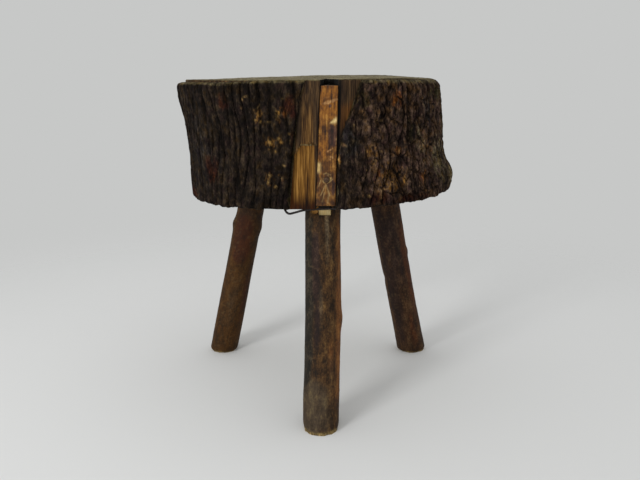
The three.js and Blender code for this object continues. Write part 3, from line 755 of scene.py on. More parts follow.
# Small flakes of a paler layer: angle, height, half width, half height, lean and strength
flecks = np.zeros(bark_angle.shape)
for degrees, up, half_width, half_height, lean, strength in [
    (243.9, 105.6, 0.9, 1.2, 0, 1), (245.4, 108.7, 1.8, 0.7, 0.3, 0.5), (242.8, 98.4, 0.7, 1, 0, 0.45),
    (249.7, 99.1, 0.8, 2.2, 0.7, 0.55), (247.9, 87, 1.4, 1, 0, 0.55), (250, 85, 0.9, 1.6, 0.4, 0.55),
    (253.5, 84.3, 1.6, 0.8, 0, 0.5), (252.4, 64.7, 1, 1.6, 0, 0.55), (254, 67, 0.9, 1.2, 0.5, 0.5),
    (256.5, 68.4, 1, 1.4, 0.3, 0.6), (257.4, 65.2, 1.4, 1, 0, 0.6), (254.5, 56, 1, 1.2, 0, 0.5),
    (260.8, 73.4, 0.9, 0.9, 0, 0.7), (260.8, 65.8, 0.6, 1.6, 0.3, 0.45), (260, 106.3, 1, 1, 0, 0.4),
    (257.4, 89.1, 0.7, 3.2, -0.6, 0.5), (251, 33.2, 1.3, 1.3, 0, 0.6), (250.2, 26.4, 1, 1.8, 0.4, 0.5),
    (255.8, 29.7, 0.8, 2.2, 0, 0.45), (253.1, 21.9, 1.3, 1.2, 0.3, 0.5),
    (257.4, 42.8, 1.2, 1.1, 0, 0.6), (280.4, 73.7, 1.1, 3.4, 0.6, 1),
    (281.6, 61.7, 1.7, 1.2, -0.3, 0.95), (278.9, 48.5, 1.3, 4.6, 0, 0.75),
    (286.3, 80.4, 0.7, 1, 0, 0.4), (296, 84.4, 1.1, 0.9, 0, 0.5), (298.2, 83.8, 1.6, 1, 0.4, 0.5),
    (293.2, 60.6, 1.6, 1, 0.6, 0.5), (305.1, 53.1, 1.8, 2.2, 0.5, 0.7), (296.9, 53.9, 1.2, 1.2, 0, 0.5),
    (293.9, 46.1, 1.2, 0.9, 0.3, 0.5), (324, 42.6, 1.8, 1.8, 0, 0.4), (289.6, 37, 0.8, 1, 0, 0.5),
    (289.4, 11.8, 1.4, 1.4, 0, 0.45),
]:
    beside = trunk_radius * turn_between(bark_angle, math.radians(degrees)) - lean * (bark_rise - up)
    flecks = np.maximum(flecks, strength * patch_at(beside, bark_rise - up, half_width, half_height))
flecks = flecks * (0.7 + 0.9 * noise(125, bark_arc / 1.1, bark_rise / 1.2))
relief += 0.8 * np.clip(flecks, 0, 1)

# Dirt and handling have dulled the top edge towards the seat's own olive, most on the right
dusty_run = 4.2 - 1.5 * ease(math.radians(100), math.radians(200), bark_angle)
dusty_run = dusty_run + 1.6 * rough_noise(127, bark_arc / 9, 0 * bark_arc)
tint_masks["dusty"] = 0.85 * ease(dusty_run, 0.3 * dusty_run, slice_thickness - bark_rise)

# The right side is browner than the left and the back
past_front = bark_angle + 2 * math.pi * (bark_angle < math.radians(120))
brown = ease(math.radians(276), math.radians(296), past_front)
brown = brown * ease(math.radians(372), math.radians(350), past_front)

# Outer surface, with both ends rounded over and the torn edges thinned
end_round = np.where(bark_rise < slice_thickness / 2, bottom_round, top_round)
worn_corner = 5.0 * hump_at(bark_angle, 352, 38)
end_round = end_round + np.where(bark_rise > slice_thickness / 2, worn_corner, 0)
to_end = np.minimum(bark_rise, slice_thickness - bark_rise)
rounding = np.maximum(0, end_round - to_end)
inset = 0.85 * (end_round - np.sqrt(end_round**2 - rounding**2))
to_torn = np.minimum(column, 1 - column)[None, :] * band_length
thinning = 0.3 + 0.7 * np.sqrt(1 - (1 - np.clip(to_torn / torn_run, 0, 1)) ** 2)
fade = bark_depth(bark_angle) / bark_thickness
bark_height = underside_height + bark_rise
inner_radius = wood_radius(bark_angle, bark_height) + fit_gap
thick = bark_depth(bark_angle) - fit_gap + (relief - inset) * fade
outer_radius = inner_radius + np.maximum(0.8, thick) * thinning


def bark_points(radius, angle, rise, jag):
    """Points of the bark, whose ends follow the two saw cuts."""
    height = underside_height + rise
    x = axis_x(height) + radius * np.cos(angle)
    y = radius * np.sin(angle)
    share = rise / slice_thickness
    hang = 1.9 * hump_at(angle, 190, 40)
    worn = 3.0 * hump_at(angle, 178, 50) + 1.2 * hump_at(angle, 230, 26) + 1.2 * hump_at(angle, 312, 30)
    raised = 1.1 * hump_at(angle, 255, 14)
    lower = underside_at(x) - underside_height - hang + raised + jag
    upper = top_at(x) - seat_height - seat_wear(x, y) - worn
    return np.stack([x, y, height + (1 - share) * lower + share * upper], axis=-1)


jag = 1.1 * rough_noise(91, bark_arc / 7, 0 * bark_arc) + 0.6 * noise(92, bark_arc / 2.4, 0 * bark_arc)
outer = bark_points(outer_radius, bark_angle, bark_rise, jag)

# Rims at the top and the bottom, where broken flakes stand up, and the inner face
sections = [outer]
for end, jagged in ((-1, 0.5), (0, 0.7)):
    across = np.linspace(0, 1, rim_levels + 2)[1:-1, None]
    if end == 0:
        across = across[::-1]
    radius = outer_radius[end] + (inner_radius[end] - outer_radius[end]) * across
    angle = np.broadcast_to(bark_angle[end], radius.shape)
    rim_rise = np.broadcast_to(bark_rise[end], radius.shape)
    rim = bark_points(radius, angle, rim_rise, jag[end])
    flakes = rough_noise(93 + end, trunk_radius * angle / 5, radius / 1.8, octaves=3)
    rim[..., 2] += jagged * flakes * (across * (1 - across) * 4) ** 0.5
    sections.append(rim)
inner_index = np.linspace(outer_levels - 1, 0, inner_levels).round().astype(int)
inner = bark_points(*[values[inner_index] for values in (inner_radius, bark_angle, bark_rise, jag)])
section = np.concatenate([sections[0], sections[1], inner, sections[2]])
section_size = len(section)
bark_rings = section.transpose(1, 0, 2)
bark_faces = ring_faces(bark_columns, section_size, closed=False)
end_outline = list(range(section_size))
bark_faces.append(tuple(reversed(end_outline)))
bark_faces.append(tuple((bark_columns - 1) * section_size + index for index in end_outline))
bark = add_mesh("trunk_bark", bark_rings.reshape(-1, 3), [face[::-1] for face in bark_faces])
smooth(bark, 75)


def over_section(values, rim_value):
    """Spreads the outer surface's values over the rims and the hidden inner face."""
    rim = np.full((rim_levels, bark_columns), rim_value)
    hidden = np.full((inner_levels, bark_columns), rim_value)
    return np.concatenate([values, rim, hidden, rim]).T.ravel()


top_arcs = [bark_arc[-1:]] * rim_levels
low_arcs = [bark_arc[:1]] * rim_levels
arc_over = np.concatenate([bark_arc, *top_arcs, bark_arc[inner_index], *low_arcs])
depth_over = np.hypot(section[..., 0] - axis_x(section[..., 2]), section[..., 1])
grain = np.stack([arc_over, depth_over, section[..., 2]], axis=-1).transpose(1, 0, 2).reshape(-1, 3)
masks = {name: over_section(mask, 0.95 * (name == "dusty")) for name, mask in tint_masks.items()}
paint(
    bark,
    grain=grain,
    furrow=over_section(np.clip(0.85 * furrow + 0.45 * crease, 0, 1), 0.25),
    plate=over_section(value, 0.6),
    brown=over_section(brown, 0.5),
    fleck=over_section(np.clip(flecks, 0, 1), 0.0),
    **masks,
)

# Dry furrowed bark: corky and quite matt, nearly black where dirt and shade lie in the furrows,
# grey-brown on the crests. Its lengthwise fibres are drawn about 1 mm wide, coarser than they are.
dry_bark, tree = new_material("dry furrowed bark")
grain_mm = add_node(tree, "Attribute", {"attribute_name": "grain"}).outputs["Vector"]
fibre = grain_pattern(tree, grain_mm, (1.1, 1.1, 3.2), 5, 0.65, unit=1)
lump = grain_pattern(tree, grain_mm, (5, 5, 8), 4, 0.6, unit=1)
plate = add_node(tree, "Attribute", {"attribute_name": "plate"}).outputs["Fac"]
tone = lay_patterns(tree, lump, (fibre, 0.8), (plate, 0.18))
tone = add_node(tree, "MapRange", {"From Min": 0.73, "From Max": 1.32}, {"Value": tone})
grey_stops = [(0.0, "0b0806"), (0.3, "17120e"), (0.5, "241d17"), (0.7, "332a20"), (0.92, "483c2e")]
bark_tints = {
    "brown": [(0.0, "110b09"), (0.3, "281e18"), (0.5, "413329"), (0.7, "5b483a"), (0.92, "7c654f")],
    "russet": [(0.15, "130806"), (0.5, "2f1911"), (0.9, "4d2d1d")],
    "slate": [(0.15, "0d0b0b"), (0.5, "25211f"), (0.9, "47423e")],
    "moss": [(0.15, "15120a"), (0.5, "3a341f"), (0.9, "655a3a")],
    "dusty": [(0.15, "2f291b"), (0.5, "645b41"), (0.9, "8f835f")],
    "lichen": [(0.15, "211c14"), (0.5, "564d3a"), (0.9, "8f8464")],
    "straw": [(0.15, "21150a"), (0.5, "59401f"), (0.72, "856331"), (0.9, "a98648")],
    "orange": [(0.15, "25130a"), (0.5, "5e3a1d"), (0.9, "a06c39")],
    "fleck": "b2925a",
}
colour = add_node(tree, "ValToRGB", {"stops": grey_stops}, {"Fac": tone})
colour = tint_over(tree, colour, tone, bark_tints)
# Painted shade, with dirt: the colour darkens along the furrows and creases
shade = add_node(tree, "Attribute", {"attribute_name": "furrow"}).outputs["Fac"]
shade = add_node(tree, "MapRange", {"To Max": 0.85}, {"Value": shade})
furrow_tint = {"blend_type": "MULTIPLY", "Color2": linear("3e352d")}
colour = add_node(tree, "MixRGB", furrow_tint, {"Fac": shade, "Color1": colour})
# Patches a few millimetres wide lean to plum or to ochre
hue = grain_pattern(tree, grain_mm, (7, 7, 9), 3, 0.6, unit=1)
hue_stops = [(0.36, "dcc9dd"), (0.5, "ffffff"), (0.64, "ffe7b4")]
hue = add_node(tree, "ValToRGB", {"stops": hue_stops}, {"Fac": hue})
colour = add_node(tree, "MixRGB", {"blend_type": "MULTIPLY", "Fac": 0.9}, {"Color1": colour, "Color2": hue})
matt_finish(tree, colour, lump, tone, ior=1.45, gloss=0.08, dullness=(0.8, 1.0), relief=(0.9, 1.2))
bark.data.materials.append(dry_bark)
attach(bark, "root")
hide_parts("bark")


# Legs
# Three natural branches with their thin bark on, cut square, whittled to a tenon at the top and
# driven into the sockets. Each foot is worn round, and shows a band of pale end grain.
neck_length = 17.0
tenon_radius = socket_radius - fit_gap
tenon_spare = 4.0
tenon_chamfer = 2.5
tenon_slack = 0.1
leg_sides = 96
whittle_cuts = 11
foot_run = 70.0
wedge_around = math.radians(10)
branches = {
    # Swell: how much thicker the foot is. Oval: how far out of round. Bow: bend and its angle.
    # Wear: height and depth of the rounding at the foot. Shoulder: how far down it is whittled,
    # how much further at one angle, that angle and its spread. Knots: distance down the leg,
    # angle, size, spread, reach. Tints: name, distance down, angle, half length, spread,
    # strength. Contrast: the tones that the stops begin and end at. Freshness: how pale the
    # whittled wood still is. Angles are in degrees seen from above: 270 faces the camera, 180 is
    # the left outline and 0 the right.
    "front_leg": {
        "piece": "front_branch",
        "slot": "front_branch",
        "radius": 18.35,
        "swell": 0.2,
        "oval": 0.006,
        "bow": (1.2, 90),
        "wear": (8.0, 1.6),
        "shoulder": (3.0, 12.0, 244, 30),
        "knots": [(122, 356, 1.6, 30, 10), (205, 196, 0.5, 24, 16)],
        "tints": [
            ("shade", 110, 212, 150, 28, 1.1), ("plum", 70, 246, 42, 15, 0.9),
            ("plum", 128, 250, 26, 13, 0.8), ("shade", 45, 300, 26, 14, 0.4),
            ("shade", 24, 231, 7, 14, 1.3), ("rust", 120, 338, 105, 26, 1.0),
            ("rust", 165, 302, 45, 20, 0.5), ("pale", 40, 283, 34, 9, 0.72),
            ("pale", 110, 262, 40, 10, 0.4), ("olive", 215, 240, 34, 60, 1.0),
            ("olive", 190, 300, 40, 14, 0.4),
        ],
        "stops": [(0.0, "130c07"), (0.3, "2a1c0f"), (0.5, "3c2917"), (0.7, "4f381f"), (0.95, "6c5331")],
        "shade": [(0.0, "0b0907"), (0.5, "241f18"), (0.95, "4b4235")],
        # Partly painted light: the front leg's rust is brighter than its bark, standing in for light that the
        # lamp at the left does not give its right side
        "rust": [(0.0, "3a2211"), (0.5, "6d4523"), (0.95, "8e6234")],
        "contrast": (0.8, 1.45),
        "freshness": 1.0,
        "seed": 201,
    },
    "left_leg": {
        "piece": "left_branch",
        "slot": "left_branch",
        "radius": 16.8,
        "swell": 0.2,
        "oval": 0.02,
        "bow": (0.5, 180),
        "wear": (5.0, 1.8),
        "shoulder": (17, 0, 0, 50),
        "knots": [(56, 1, 1.5, 34, 8), (56, 181, 1.7, 28, 7), (38, 181, -1.2, 50, 13)],
        "tints": [
            ("rust", 70, 262, 34, 46, 1.0), ("shade", 40, 270, 14, 70, 0.7),
            ("rust", 150, 325, 60, 24, 0.6), ("olive", 150, 262, 60, 60, 0.3),
        ],
        "stops": [(0.0, "1a0f06"), (0.3, "2e1d09"), (0.5, "3e270e"), (0.7, "4c3215"), (0.95, "5e4320")],
        "shade": [(0.0, "150b07"), (0.5, "2a1b11"), (0.95, "412e1c")],
        "rust": [(0.0, "1c0d06"), (0.5, "371c0d"), (0.95, "4e2c16")],
        "contrast": (0.65, 1.6),
        "freshness": 0.25,
        "seed": 231,
    },
    "right_leg": {
        "piece": "right_branch",
        "slot": "right_branch",
        "radius": 17.1,
        "swell": 0.8,
        "oval": 0.025,
        "bow": (0.9, 180),
        "wear": (5.0, 1.8),
        "shoulder": (17, 0, 0, 50),
        "knots": [
            (150, 51.5, 1.3, 30, 11), (128, 181.5, -0.8, 26, 5), (19, 0, 2.0, 15, 4),
            (97, 2, 1.2, 13, 5),
        ],
        "tints": [
            ("shade", 120, 236, 120, 34, 0.9), ("rust", 120, 330, 80, 30, 0.8),
            ("plum", 90, 280, 60, 50, 0.7), ("rust", 200, 290, 30, 22, 0.6),
        ],
        "stops": [(0.0, "150b07"), (0.3, "2a1a0f"), (0.5, "3b2717"), (0.7, "4e3622"), (0.95, "695036")],
        "shade": [(0.0, "110907"), (0.5, "291b15"), (0.95, "3f2f25")],
        "rust": [(0.0, "1e0e07"), (0.5, "482713"), (0.95, "6a4124")],
        "contrast": (0.72, 1.5),
        "freshness": 0.25,
        "seed": 261,
    },
}


def branch_rings(leg, branch):
    """Rings of points up the leg, in its socket's frame, and the masks that its material reads."""
    splay = math.radians(leg_angles[leg][2])
    lean = math.radians(leg_angles[leg][1])
    length = leg_place(leg).to_translation().z / math.cos(splay)
    tenon_top = socket_depth - tenon_spare
    shaft = np.linspace(-length, -neck_length, 205)
    neck = np.linspace(-neck_length, 2, 26)[1:]
    tenon = np.array([20, 40, tenon_top - tenon_chamfer, tenon_top])
    at = np.concatenate([shaft, neck, tenon])[:, None]
    angle = np.linspace(0, 2 * math.pi, leg_sides, endpoint=False)[None, :]
    angle, at = np.broadcast_arrays(angle, at)
    room_angle = angle + lean
    down = np.clip(-at / length, 0, 1)
    seed = branch["seed"]
    near_x, near_y = np.cos(angle) * branch["radius"], np.sin(angle) * branch["radius"]
    # The branch, its knots, and the fine relief of its bark
    radius = branch["radius"] + branch["swell"] * down**3
    radius = radius + branch["oval"] * branch["radius"] * np.cos(2 * angle + 6 * down)
    for below, knot_angle, size, spread, reach in branch["knots"]:
        radius = radius + size * hump_at(room_angle, knot_angle, spread) * hump(at + below, reach)
    wrinkles = rough_noise(seed, near_x / 7, near_y / 7, at / 42, octaves=3)
    pimples = ease(0.35, 0.75, noise(seed + 5, near_x / 2.4, near_y / 2.4, at / 1.9))
    skin = rough_noise(seed + 7, near_x / 2.6, near_y / 2.6, at / 7, octaves=3)
    radius = radius + 0.45 * wrinkles + 0.16 * skin + 0.1 * pimples
    # Its foot, worn round
    height_over_floor = (at + length) * math.cos(splay)
    wear_height, wear_inset = branch["wear"]
    worn = np.clip(1 - height_over_floor / wear_height, 0, 1)
    ragged = 1 + 0.5 * noise(seed + 9, near_x / 4, near_y / 4)
    radius = radius - wear_inset * ragged * worn**2
    # Its neck, whittled in flat cuts down to the tenon that fills the socket
    deep, extra, bare_angle, spread = branch["shoulder"]
    shoulder = deep + extra * hump_at(room_angle, bare_angle, spread)
    shoulder = shoulder + 0.7 * noise(seed + 11, near_x / 5, near_y / 5)
    facet = 2 * math.pi / whittle_cuts
    flat = math.cos(facet / 2) / np.cos(np.mod(angle, facet) - facet / 2)
    whittled_radius = (tenon_radius - tenon_slack) * (0.4 + 0.6 * flat) + 0.5 * np.clip(-at - 2, 0, 3)
    whittled = ease(-shoulder - 0.5, -shoulder + 0.5, at)
    radius = radius + (np.minimum(radius, whittled_radius) - radius) * whittled
    in_socket = ease(-1.2, -0.2, at)
    radius = radius + ((tenon_radius - tenon_slack) * flat - radius) * in_socket
    radius[-1] -= tenon_chamfer
    # Its bow, and its foot cut level with the floor
    bow, bow_angle = branch["bow"]
    bowed = bow * np.sin(math.pi * down) ** 2
    x = radius * np.cos(angle) + bowed * math.cos(math.radians(bow_angle))
    y = radius * np.sin(angle) + bowed * math.sin(math.radians(bow_angle))
    slant = np.clip(1 - (at + length) / foot_run, 0, 1)
    z = at - x * math.tan(splay) * slant
    rings = np.stack([x, y, z], axis=-1)
    # Its tints, and where whittling and wear have bared the wood
    masks = {name: 0 * at for name in ("shade", "plum", "rust", "olive", "pale")}
    for tint, below, tint_angle, half_length, tint_spread, strength in branch["tints"]:
        sideways = turn_between(room_angle, math.radians(tint_angle))
        patch = patch_at(sideways, at + below, math.radians(tint_spread), half_length, power=4)
        masks[tint] = np.maximum(masks[tint], strength * patch)
    for number, tint in enumerate(masks):
        mottle = rough_noise(seed + 13 + 5 * number, near_x / 9, near_y / 9, at / 26)
        masks[tint] = ease(0.2, 0.8, masks[tint] * (1 + 0.8 * mottle))
    patchy = 0.3 * worn * noise(seed + 29, near_x / 3, near_y / 3, at / 3)
    masks["end_grain"] = ease(0.2, 0.75, worn**1.5 + patchy)
    masks["bare"] = whittled * branch["freshness"]
    masks["pimple"] = pimples
    return rings, masks


def branch_material(name, branch):
    """Thin branch bark gone dry and handled smooth: dull, finely wrinkled along the leg, with
    small corky pores, and bare whittled wood and end grain where it was cut. Wrinkles and grit
    are drawn 1.3 to 3 mm across, coarser than they are, so that they show."""
    material, tree = new_material(name)
    where = add_node(tree, "TexCoord").outputs["Object"]
    wrinkle = grain_pattern(tree, where, (1.6, 1.6, 3.0), 5, 0.62)
    blotch = grain_pattern(tree, where, (7, 7, 15), 4, 0.6)
    grit = grain_pattern(tree, where, (1.3, 1.3, 1.8), 3, 0.7)
    tone = lay_patterns(tree, blotch, (wrinkle, 0.75), (grit, 0.45))
    darkest, palest = branch["contrast"]
    tone = add_node(tree, "MapRange", {"From Min": darkest, "From Max": palest}, {"Value": tone})
    # The pale tint is a painted highlight, a lit streak down the front of the front leg. The shade tint is
    # painted shade, on the legs' left sides and just under the seat.
    branch_tints = {
        "shade": branch["shade"],
        "plum": [(0.0, "120a08"), (0.5, "2c1f1a"), (0.95, "4a392f")],
        "rust": branch["rust"],
        "olive": [(0.0, "2a2115"), (0.5, "43372a"), (0.95, "5f5239")],
        "pale": [(0.0, "241c13"), (0.4, "4a3d2d"), (0.7, "6a5a43"), (0.95, "8d7b5c")],
        "bare": [(0.0, "4a2c12"), (0.5, "8a5c2b"), (0.95, "c29652")],
        "end_grain": [(0.0, "2e2413"), (0.4, "5c4c2e"), (0.7, "8a764b"), (0.95, "b09a68")],
    }
    colour = add_node(tree, "ValToRGB", {"stops": branch["stops"]}, {"Fac": tone})
    colour = tint_over(tree, colour, tone, branch_tints)
    pores = add_node(tree, "Attribute", {"attribute_name": "pimple"}).outputs["Fac"]
    pores = add_node(tree, "Math", {"operation": "MULTIPLY", 1: 0.16}, {0: pores})
    colour = add_node(tree, "MixRGB", {"Color2": linear("6e5a3c")}, {"Fac": pores, "Color1": colour})
    matt_finish(tree, colour, tone, tone, ior=1.5, gloss=0.14, dullness=(0.62, 0.9), relief=(0.7, 0.6))
    return material


# Wedge and its notch: the wedge's outer face lies along the bore's wall, its inner face tapers
wedge_width = 12.5
wedge_outside = 16.2
wedge_inside = 13.0
wedge_tip = 0.7
wedge_butt = 4.4
wedge_outer = math.sqrt(tenon_radius**2 - (wedge_width / 2) ** 2)


def wedge_rings(spare, outer_run, levels, across=12, through=6):
    """Rings up the wedge, round its section: outer face, side, inner face, side."""
    rings = []
    for share in np.linspace(0, 1, levels):
        up = -wedge_outside - spare + share * (wedge_outside + wedge_inside + 2 * spare)
        thick = wedge_butt + (wedge_tip - wedge_butt) * share
        inner, outer = wedge_outer - thick - spare, wedge_outer + outer_run
        half = wedge_width / 2 + spare
        steps = np.linspace(0, 1, across, endpoint=False)
        edge = np.linspace(0, 1, through, endpoint=False)
        ring = [(outer, -half + 2 * half * step) for step in steps]
        ring += [(outer + (inner - outer) * step, half) for step in edge]
        ring += [(inner, half - 2 * half * step) for step in steps]
        ring += [(inner + (outer - inner) * step, -half) for step in edge]
        rings.append([(x, y, up) for x, y in ring])
    rings = np.array(rings)
    cosine, sine = math.cos(wedge_around), math.sin(wedge_around)
    x = rings[..., 0] * cosine - rings[..., 1] * sine
    y = rings[..., 0] * sine + rings[..., 1] * cosine
    return np.stack([x, y, rings[..., 2]], axis=-1)


def over_rings(mask):
    """A mask's values for a closed stack, whose two middle points take the mean of their rings."""
    return np.concatenate([mask[0].mean()[None], mask.ravel(), mask[-1].mean()[None]])


for leg, branch in branches.items():
    rings, masks = branch_rings(leg, branch)
    limb = add_mesh(branch["piece"], *closed_stack(rings), leg_place(leg))
    paint(limb, **{name: over_rings(mask) for name, mask in masks.items()})
    if leg == "front_leg":
        notch = wedge_rings(spare=fit_gap, outer_run=8.0, levels=2)
        carve(limb, [add_mesh("wedge_notch", *closed_stack(notch), leg_place(leg))])
    smooth(limb, 42)
    limb.data.materials.append(branch_material(f"dry {leg.replace('_leg', '')} branch", branch))
    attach(limb, "root")
    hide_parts(leg)


# Wedge
# A small split wedge of fresh pale wood, driven in beside the front tenon to tighten the leg. It
# is the lightest piece of the stool, and its colour is painted paler still as painted light where
# the seat shades it: its butt is clean, and it is dark only where it goes in, with grime and painted shade.
rings = wedge_rings(spare=0, outer_run=0, levels=60)
swell = 0.12 * rough_noise(301, rings[..., 0] / 2, rings[..., 1] / 2, rings[..., 2] / 9)
towards = rings[..., :2] - rings[..., :2].mean(1, keepdims=True)
rings[..., :2] -= towards * (0.012 + 0.02 * np.abs(swell))[..., None]
wedge = add_mesh("wedge_wood", *closed_stack(rings), leg_place("front_leg"))
# Painted shade, with grime: the wedge darkens over its last few millimetres towards the trunk
paint(wedge, grime=ease(-11.2, -9.4, points_of(wedge)[:, 2]))
smooth(wedge, 35)

# Fresh split softwood: pale straw with a faint sheen, painted paler than the wood as painted light
# where the seat shades it, and dark with grime and painted shade where it goes in
fresh_wood, tree = new_material("fresh split softwood")
where = add_node(tree, "TexCoord").outputs["Object"]
fibre = grain_pattern(tree, where, (0.9, 0.9, 9), 4, 0.6)
# Painted light: these straws are paler than the wood's own colour, to make up for the seat's shade
fresh_and_lit_stops = [(0.3, "e4b76b"), (0.5, "fad993"), (0.7, "ffecb8")]
colour = add_node(tree, "ValToRGB", {"stops": fresh_and_lit_stops}, {"Fac": fibre})
colour = tint_over(tree, colour, fibre, {"grime": "1c130b"})
matt_finish(tree, colour, fibre, fibre, ior=1.53, gloss=0.35, dullness=(0.6, 0.8), relief=(0.5, 0.3))
wedge.data.materials.append(fresh_wood)
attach(wedge, "root")
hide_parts("leg_wedge")


# Filler strip
# A tapered strip ripped from a straw-coloured board, driven into the split and nailed. Its face
# has turned amber, with smears of old filler, a purplish stain, a pale chip and scratches.
face_columns = 30
side_columns = 14
back_columns = 10
strip_columns = (face_columns, side_columns, back_columns, side_columns)
strip_levels = np.linspace(underside_height + strip_bottom_gap, seat_height - strip_top_gap, 170)
strip_back_y = slot_floor_y - fit_gap
strip_rings = split_rings(0, strip_face_y, strip_back_y, strip_levels, strip_columns, bunched=0.02)
face = np.zeros(strip_rings.shape[:2])
face[:, : face_columns + 1] = 1
strip_x, strip_up = strip_rings[..., 0], strip_rings[..., 2] - underside_height
middle_x = strip_bottom_x + strip_lean * (strip_up - strip_bottom_gap)
off_middle = strip_x - middle_x

# Marks of the tools, rubbed corners and ends, and the chips: one low at the left, one high
plane_marks = 0.1 * rough_noise(311, off_middle / 1.6, strip_up / 22)
plane_marks = plane_marks + 0.12 * rough_noise(313, off_middle / 6, strip_up / 12)
narrowing = (strip_top_width - strip_bottom_width) * (strip_up / slice_thickness)
half_width = (strip_bottom_width + narrowing) / 2
corner_wander = 0.25 * noise(315, strip_up / 4, 0 * strip_up)
corner = ease(half_width - 0.9, half_width, np.abs(off_middle) + corner_wander)
ends = ease(1.2, 0, np.minimum(strip_up - strip_bottom_gap, slice_thickness - strip_top_gap - strip_up))
chip = patch_at(off_middle + 7.9, strip_up - 40.5, 1.8, 4.8, power=4)
off_chip = strip_up - 84.5 - 0.45 * (strip_x - 13)
chip_width = 0.9 + 0.35 * np.clip(strip_x - 10, 0, 5)
high_chip = patch_at(off_chip, strip_x - 13, chip_width, 3.3, power=4)

# Scratches: where each starts and ends, across and up the strip, and its width
scratches = 0 * strip_up
for start_x, start_up, end_x, end_up, wide in [
    (0.3, 13, 5.6, 25, 0.5), (9.6, 13, 5.8, 24.5, 0.5), (8.4, 27.5, 11, 31.5, 0.8),
    (6.4, 35, 10.4, 33.6, 0.5), (3.2, 34.4, 6.6, 35.6, 0.5), (-1.6, 22, 0.8, 29, 0.4),
    (1.8, 7, 4.4, 17, 0.4), (7.2, 6, 8.4, 16, 0.4), (9.4, 27, 12.4, 30, 0.45),
]:
    run = np.array([end_x - start_x, end_up - start_up])
    along = ((strip_x - start_x) * run[0] + (strip_up - start_up) * run[1]) / (run @ run)
    away = np.abs((strip_x - start_x) * run[1] - (strip_up - start_up) * run[0]) / np.hypot(*run)
    scratches = np.maximum(scratches, hump(away, wide) * ease(-0.05, 0.1, along) * ease(1.05, 0.9, along))
sunk = face * (0.7 * corner**2 + 0.5 * ends + 1.1 * chip + 0.6 * high_chip + 0.25 * scratches)
strip_rings[..., 1] += sunk - face * plane_marks
strip = add_mesh("strip_wood", *closed_stack(strip_rings))


def smear(centre_x, centre_up, half_long, half_wide, tilt):
    """A soft smear of old filler, drawn out along a tilted line."""
    along = (strip_x - centre_x) * math.cos(tilt) + (strip_up - centre_up) * math.sin(tilt)
    across = (strip_up - centre_up) * math.cos(tilt) - (strip_x - centre_x) * math.sin(tilt)
    across = across + 0.7 * noise(321, strip_x / 3, strip_up / 3)
    return patch_at(across, along, half_wide, half_long, power=4)


smears = smear(9.6, 102.8, 8.2, 1.8, 0.3) + 0.45 * smear(6.4, 106, 4.5, 1.0, 0.3)
smears = smears + 0.75 * smear(9.4, 57.3, 4.0, 1.2, 0.6)
smears = smears + 0.5 * smear(15.4, 64, 1.0, 12.0, 0.0) + 0.5 * smear(10.5, 50, 3.4, 2.6, 0.4)
smears = ease(0.25, 0.8, smears * (1 + 0.4 * noise(323, strip_x / 1.5, strip_up / 1.5)))

# The purplish stain: its main streak, and four smaller ones
purple = 1.3 * patch_at(strip_x - 12.6, strip_up - 71, 4.6, 11, power=4)
purple = np.maximum(purple, 0.9 * patch_at(strip_x - 12.6, strip_up - 22, 2.2, 9, power=4))
purple = np.maximum(purple, 0.9 * hump(strip_x - 9.4, 1.8) * hump(strip_up - 98.6, 2.0))
purple = np.maximum(purple, 0.6 * hump(strip_x - 3.0, 4.5) * hump(strip_up - 101, 1.2))
purple = np.maximum(purple, 0.5 * hump(strip_x - 7.0, 3.0) * hump(strip_up - 33, 4.0))
purple = ease(0.3, 0.75, purple * (1 + 0.6 * rough_noise(325, strip_x / 3.5, strip_up / 6)))
amber = ease(74, 96, strip_up + 4 * noise(327, strip_x / 5, strip_up / 9))
red_left = hump(strip_x - 3, 6) * hump(strip_up - 60, 10)
amber = np.maximum(amber, ease(0.2, 0.8, red_left * (1 + 0.5 * noise(333, strip_x / 3, strip_up / 5))))
worn_pale = ease(46, 24, strip_up + 5 * noise(329, strip_x / 4, strip_up / 8))
# A pale ring round the nail: partly scratches and partly a painted highlight, the glint round the nail's head
nail_ring_glint = hump(np.hypot(strip_x - 6.2, strip_up - 29.5) - 3.9, 0.55)
nail_ring_glint = nail_ring_glint * ease(-0.1, 0.5, noise(331, strip_x / 1.2, strip_up / 1.2))
fresh = np.clip(chip * 1.2 + 1.1 * high_chip + 0.4 * scratches + 0.5 * nail_ring_glint, 0, 1)
strip_masks = {"smear": smears, "purple": purple, "amber": amber, "worn": worn_pale, "fresh": fresh}
paint(strip, **{name: over_rings(mask * face) for name, mask in strip_masks.items()})

# Hole for the nail, which is pointed and has a domed head
nail_length = 38.0
nail_point = 7.0
shank_radius = 1.3
head_radius = 2.9
nail_above = 29.0
nail_x = strip_bottom_x + strip_lean * (nail_above - strip_bottom_gap)
nail_place = Matrix.Translation((nail_x, strip_face_y - fit_gap, underside_height + nail_above))


def nail_stack(spare):
    """Rings of the nail, pointing along +Y from under its dented head, in the nail's own frame."""
    shank, head = shank_radius + spare, head_radius + spare
    profile = [(0.02, nail_length + spare), (shank, nail_length - nail_point), (shank, 16), (shank, 0)]
    profile += [(head * 0.98, 0), (head, -0.35), (head * 0.94, -0.9), (head * 0.72, -1.3)]
    profile += [(head * 0.4, -1.48), (head * 0.08, -1.5)]
    turns = np.linspace(0, 2 * math.pi, 40, endpoint=False)
    return np.array([[(r * math.cos(a), along, -r * math.sin(a)) for a in turns] for r, along in profile])


carve(strip, [add_mesh("nail_hole", *closed_stack(nail_stack(fit_gap)[::-1]), nail_place)])
smooth(strip, 38)

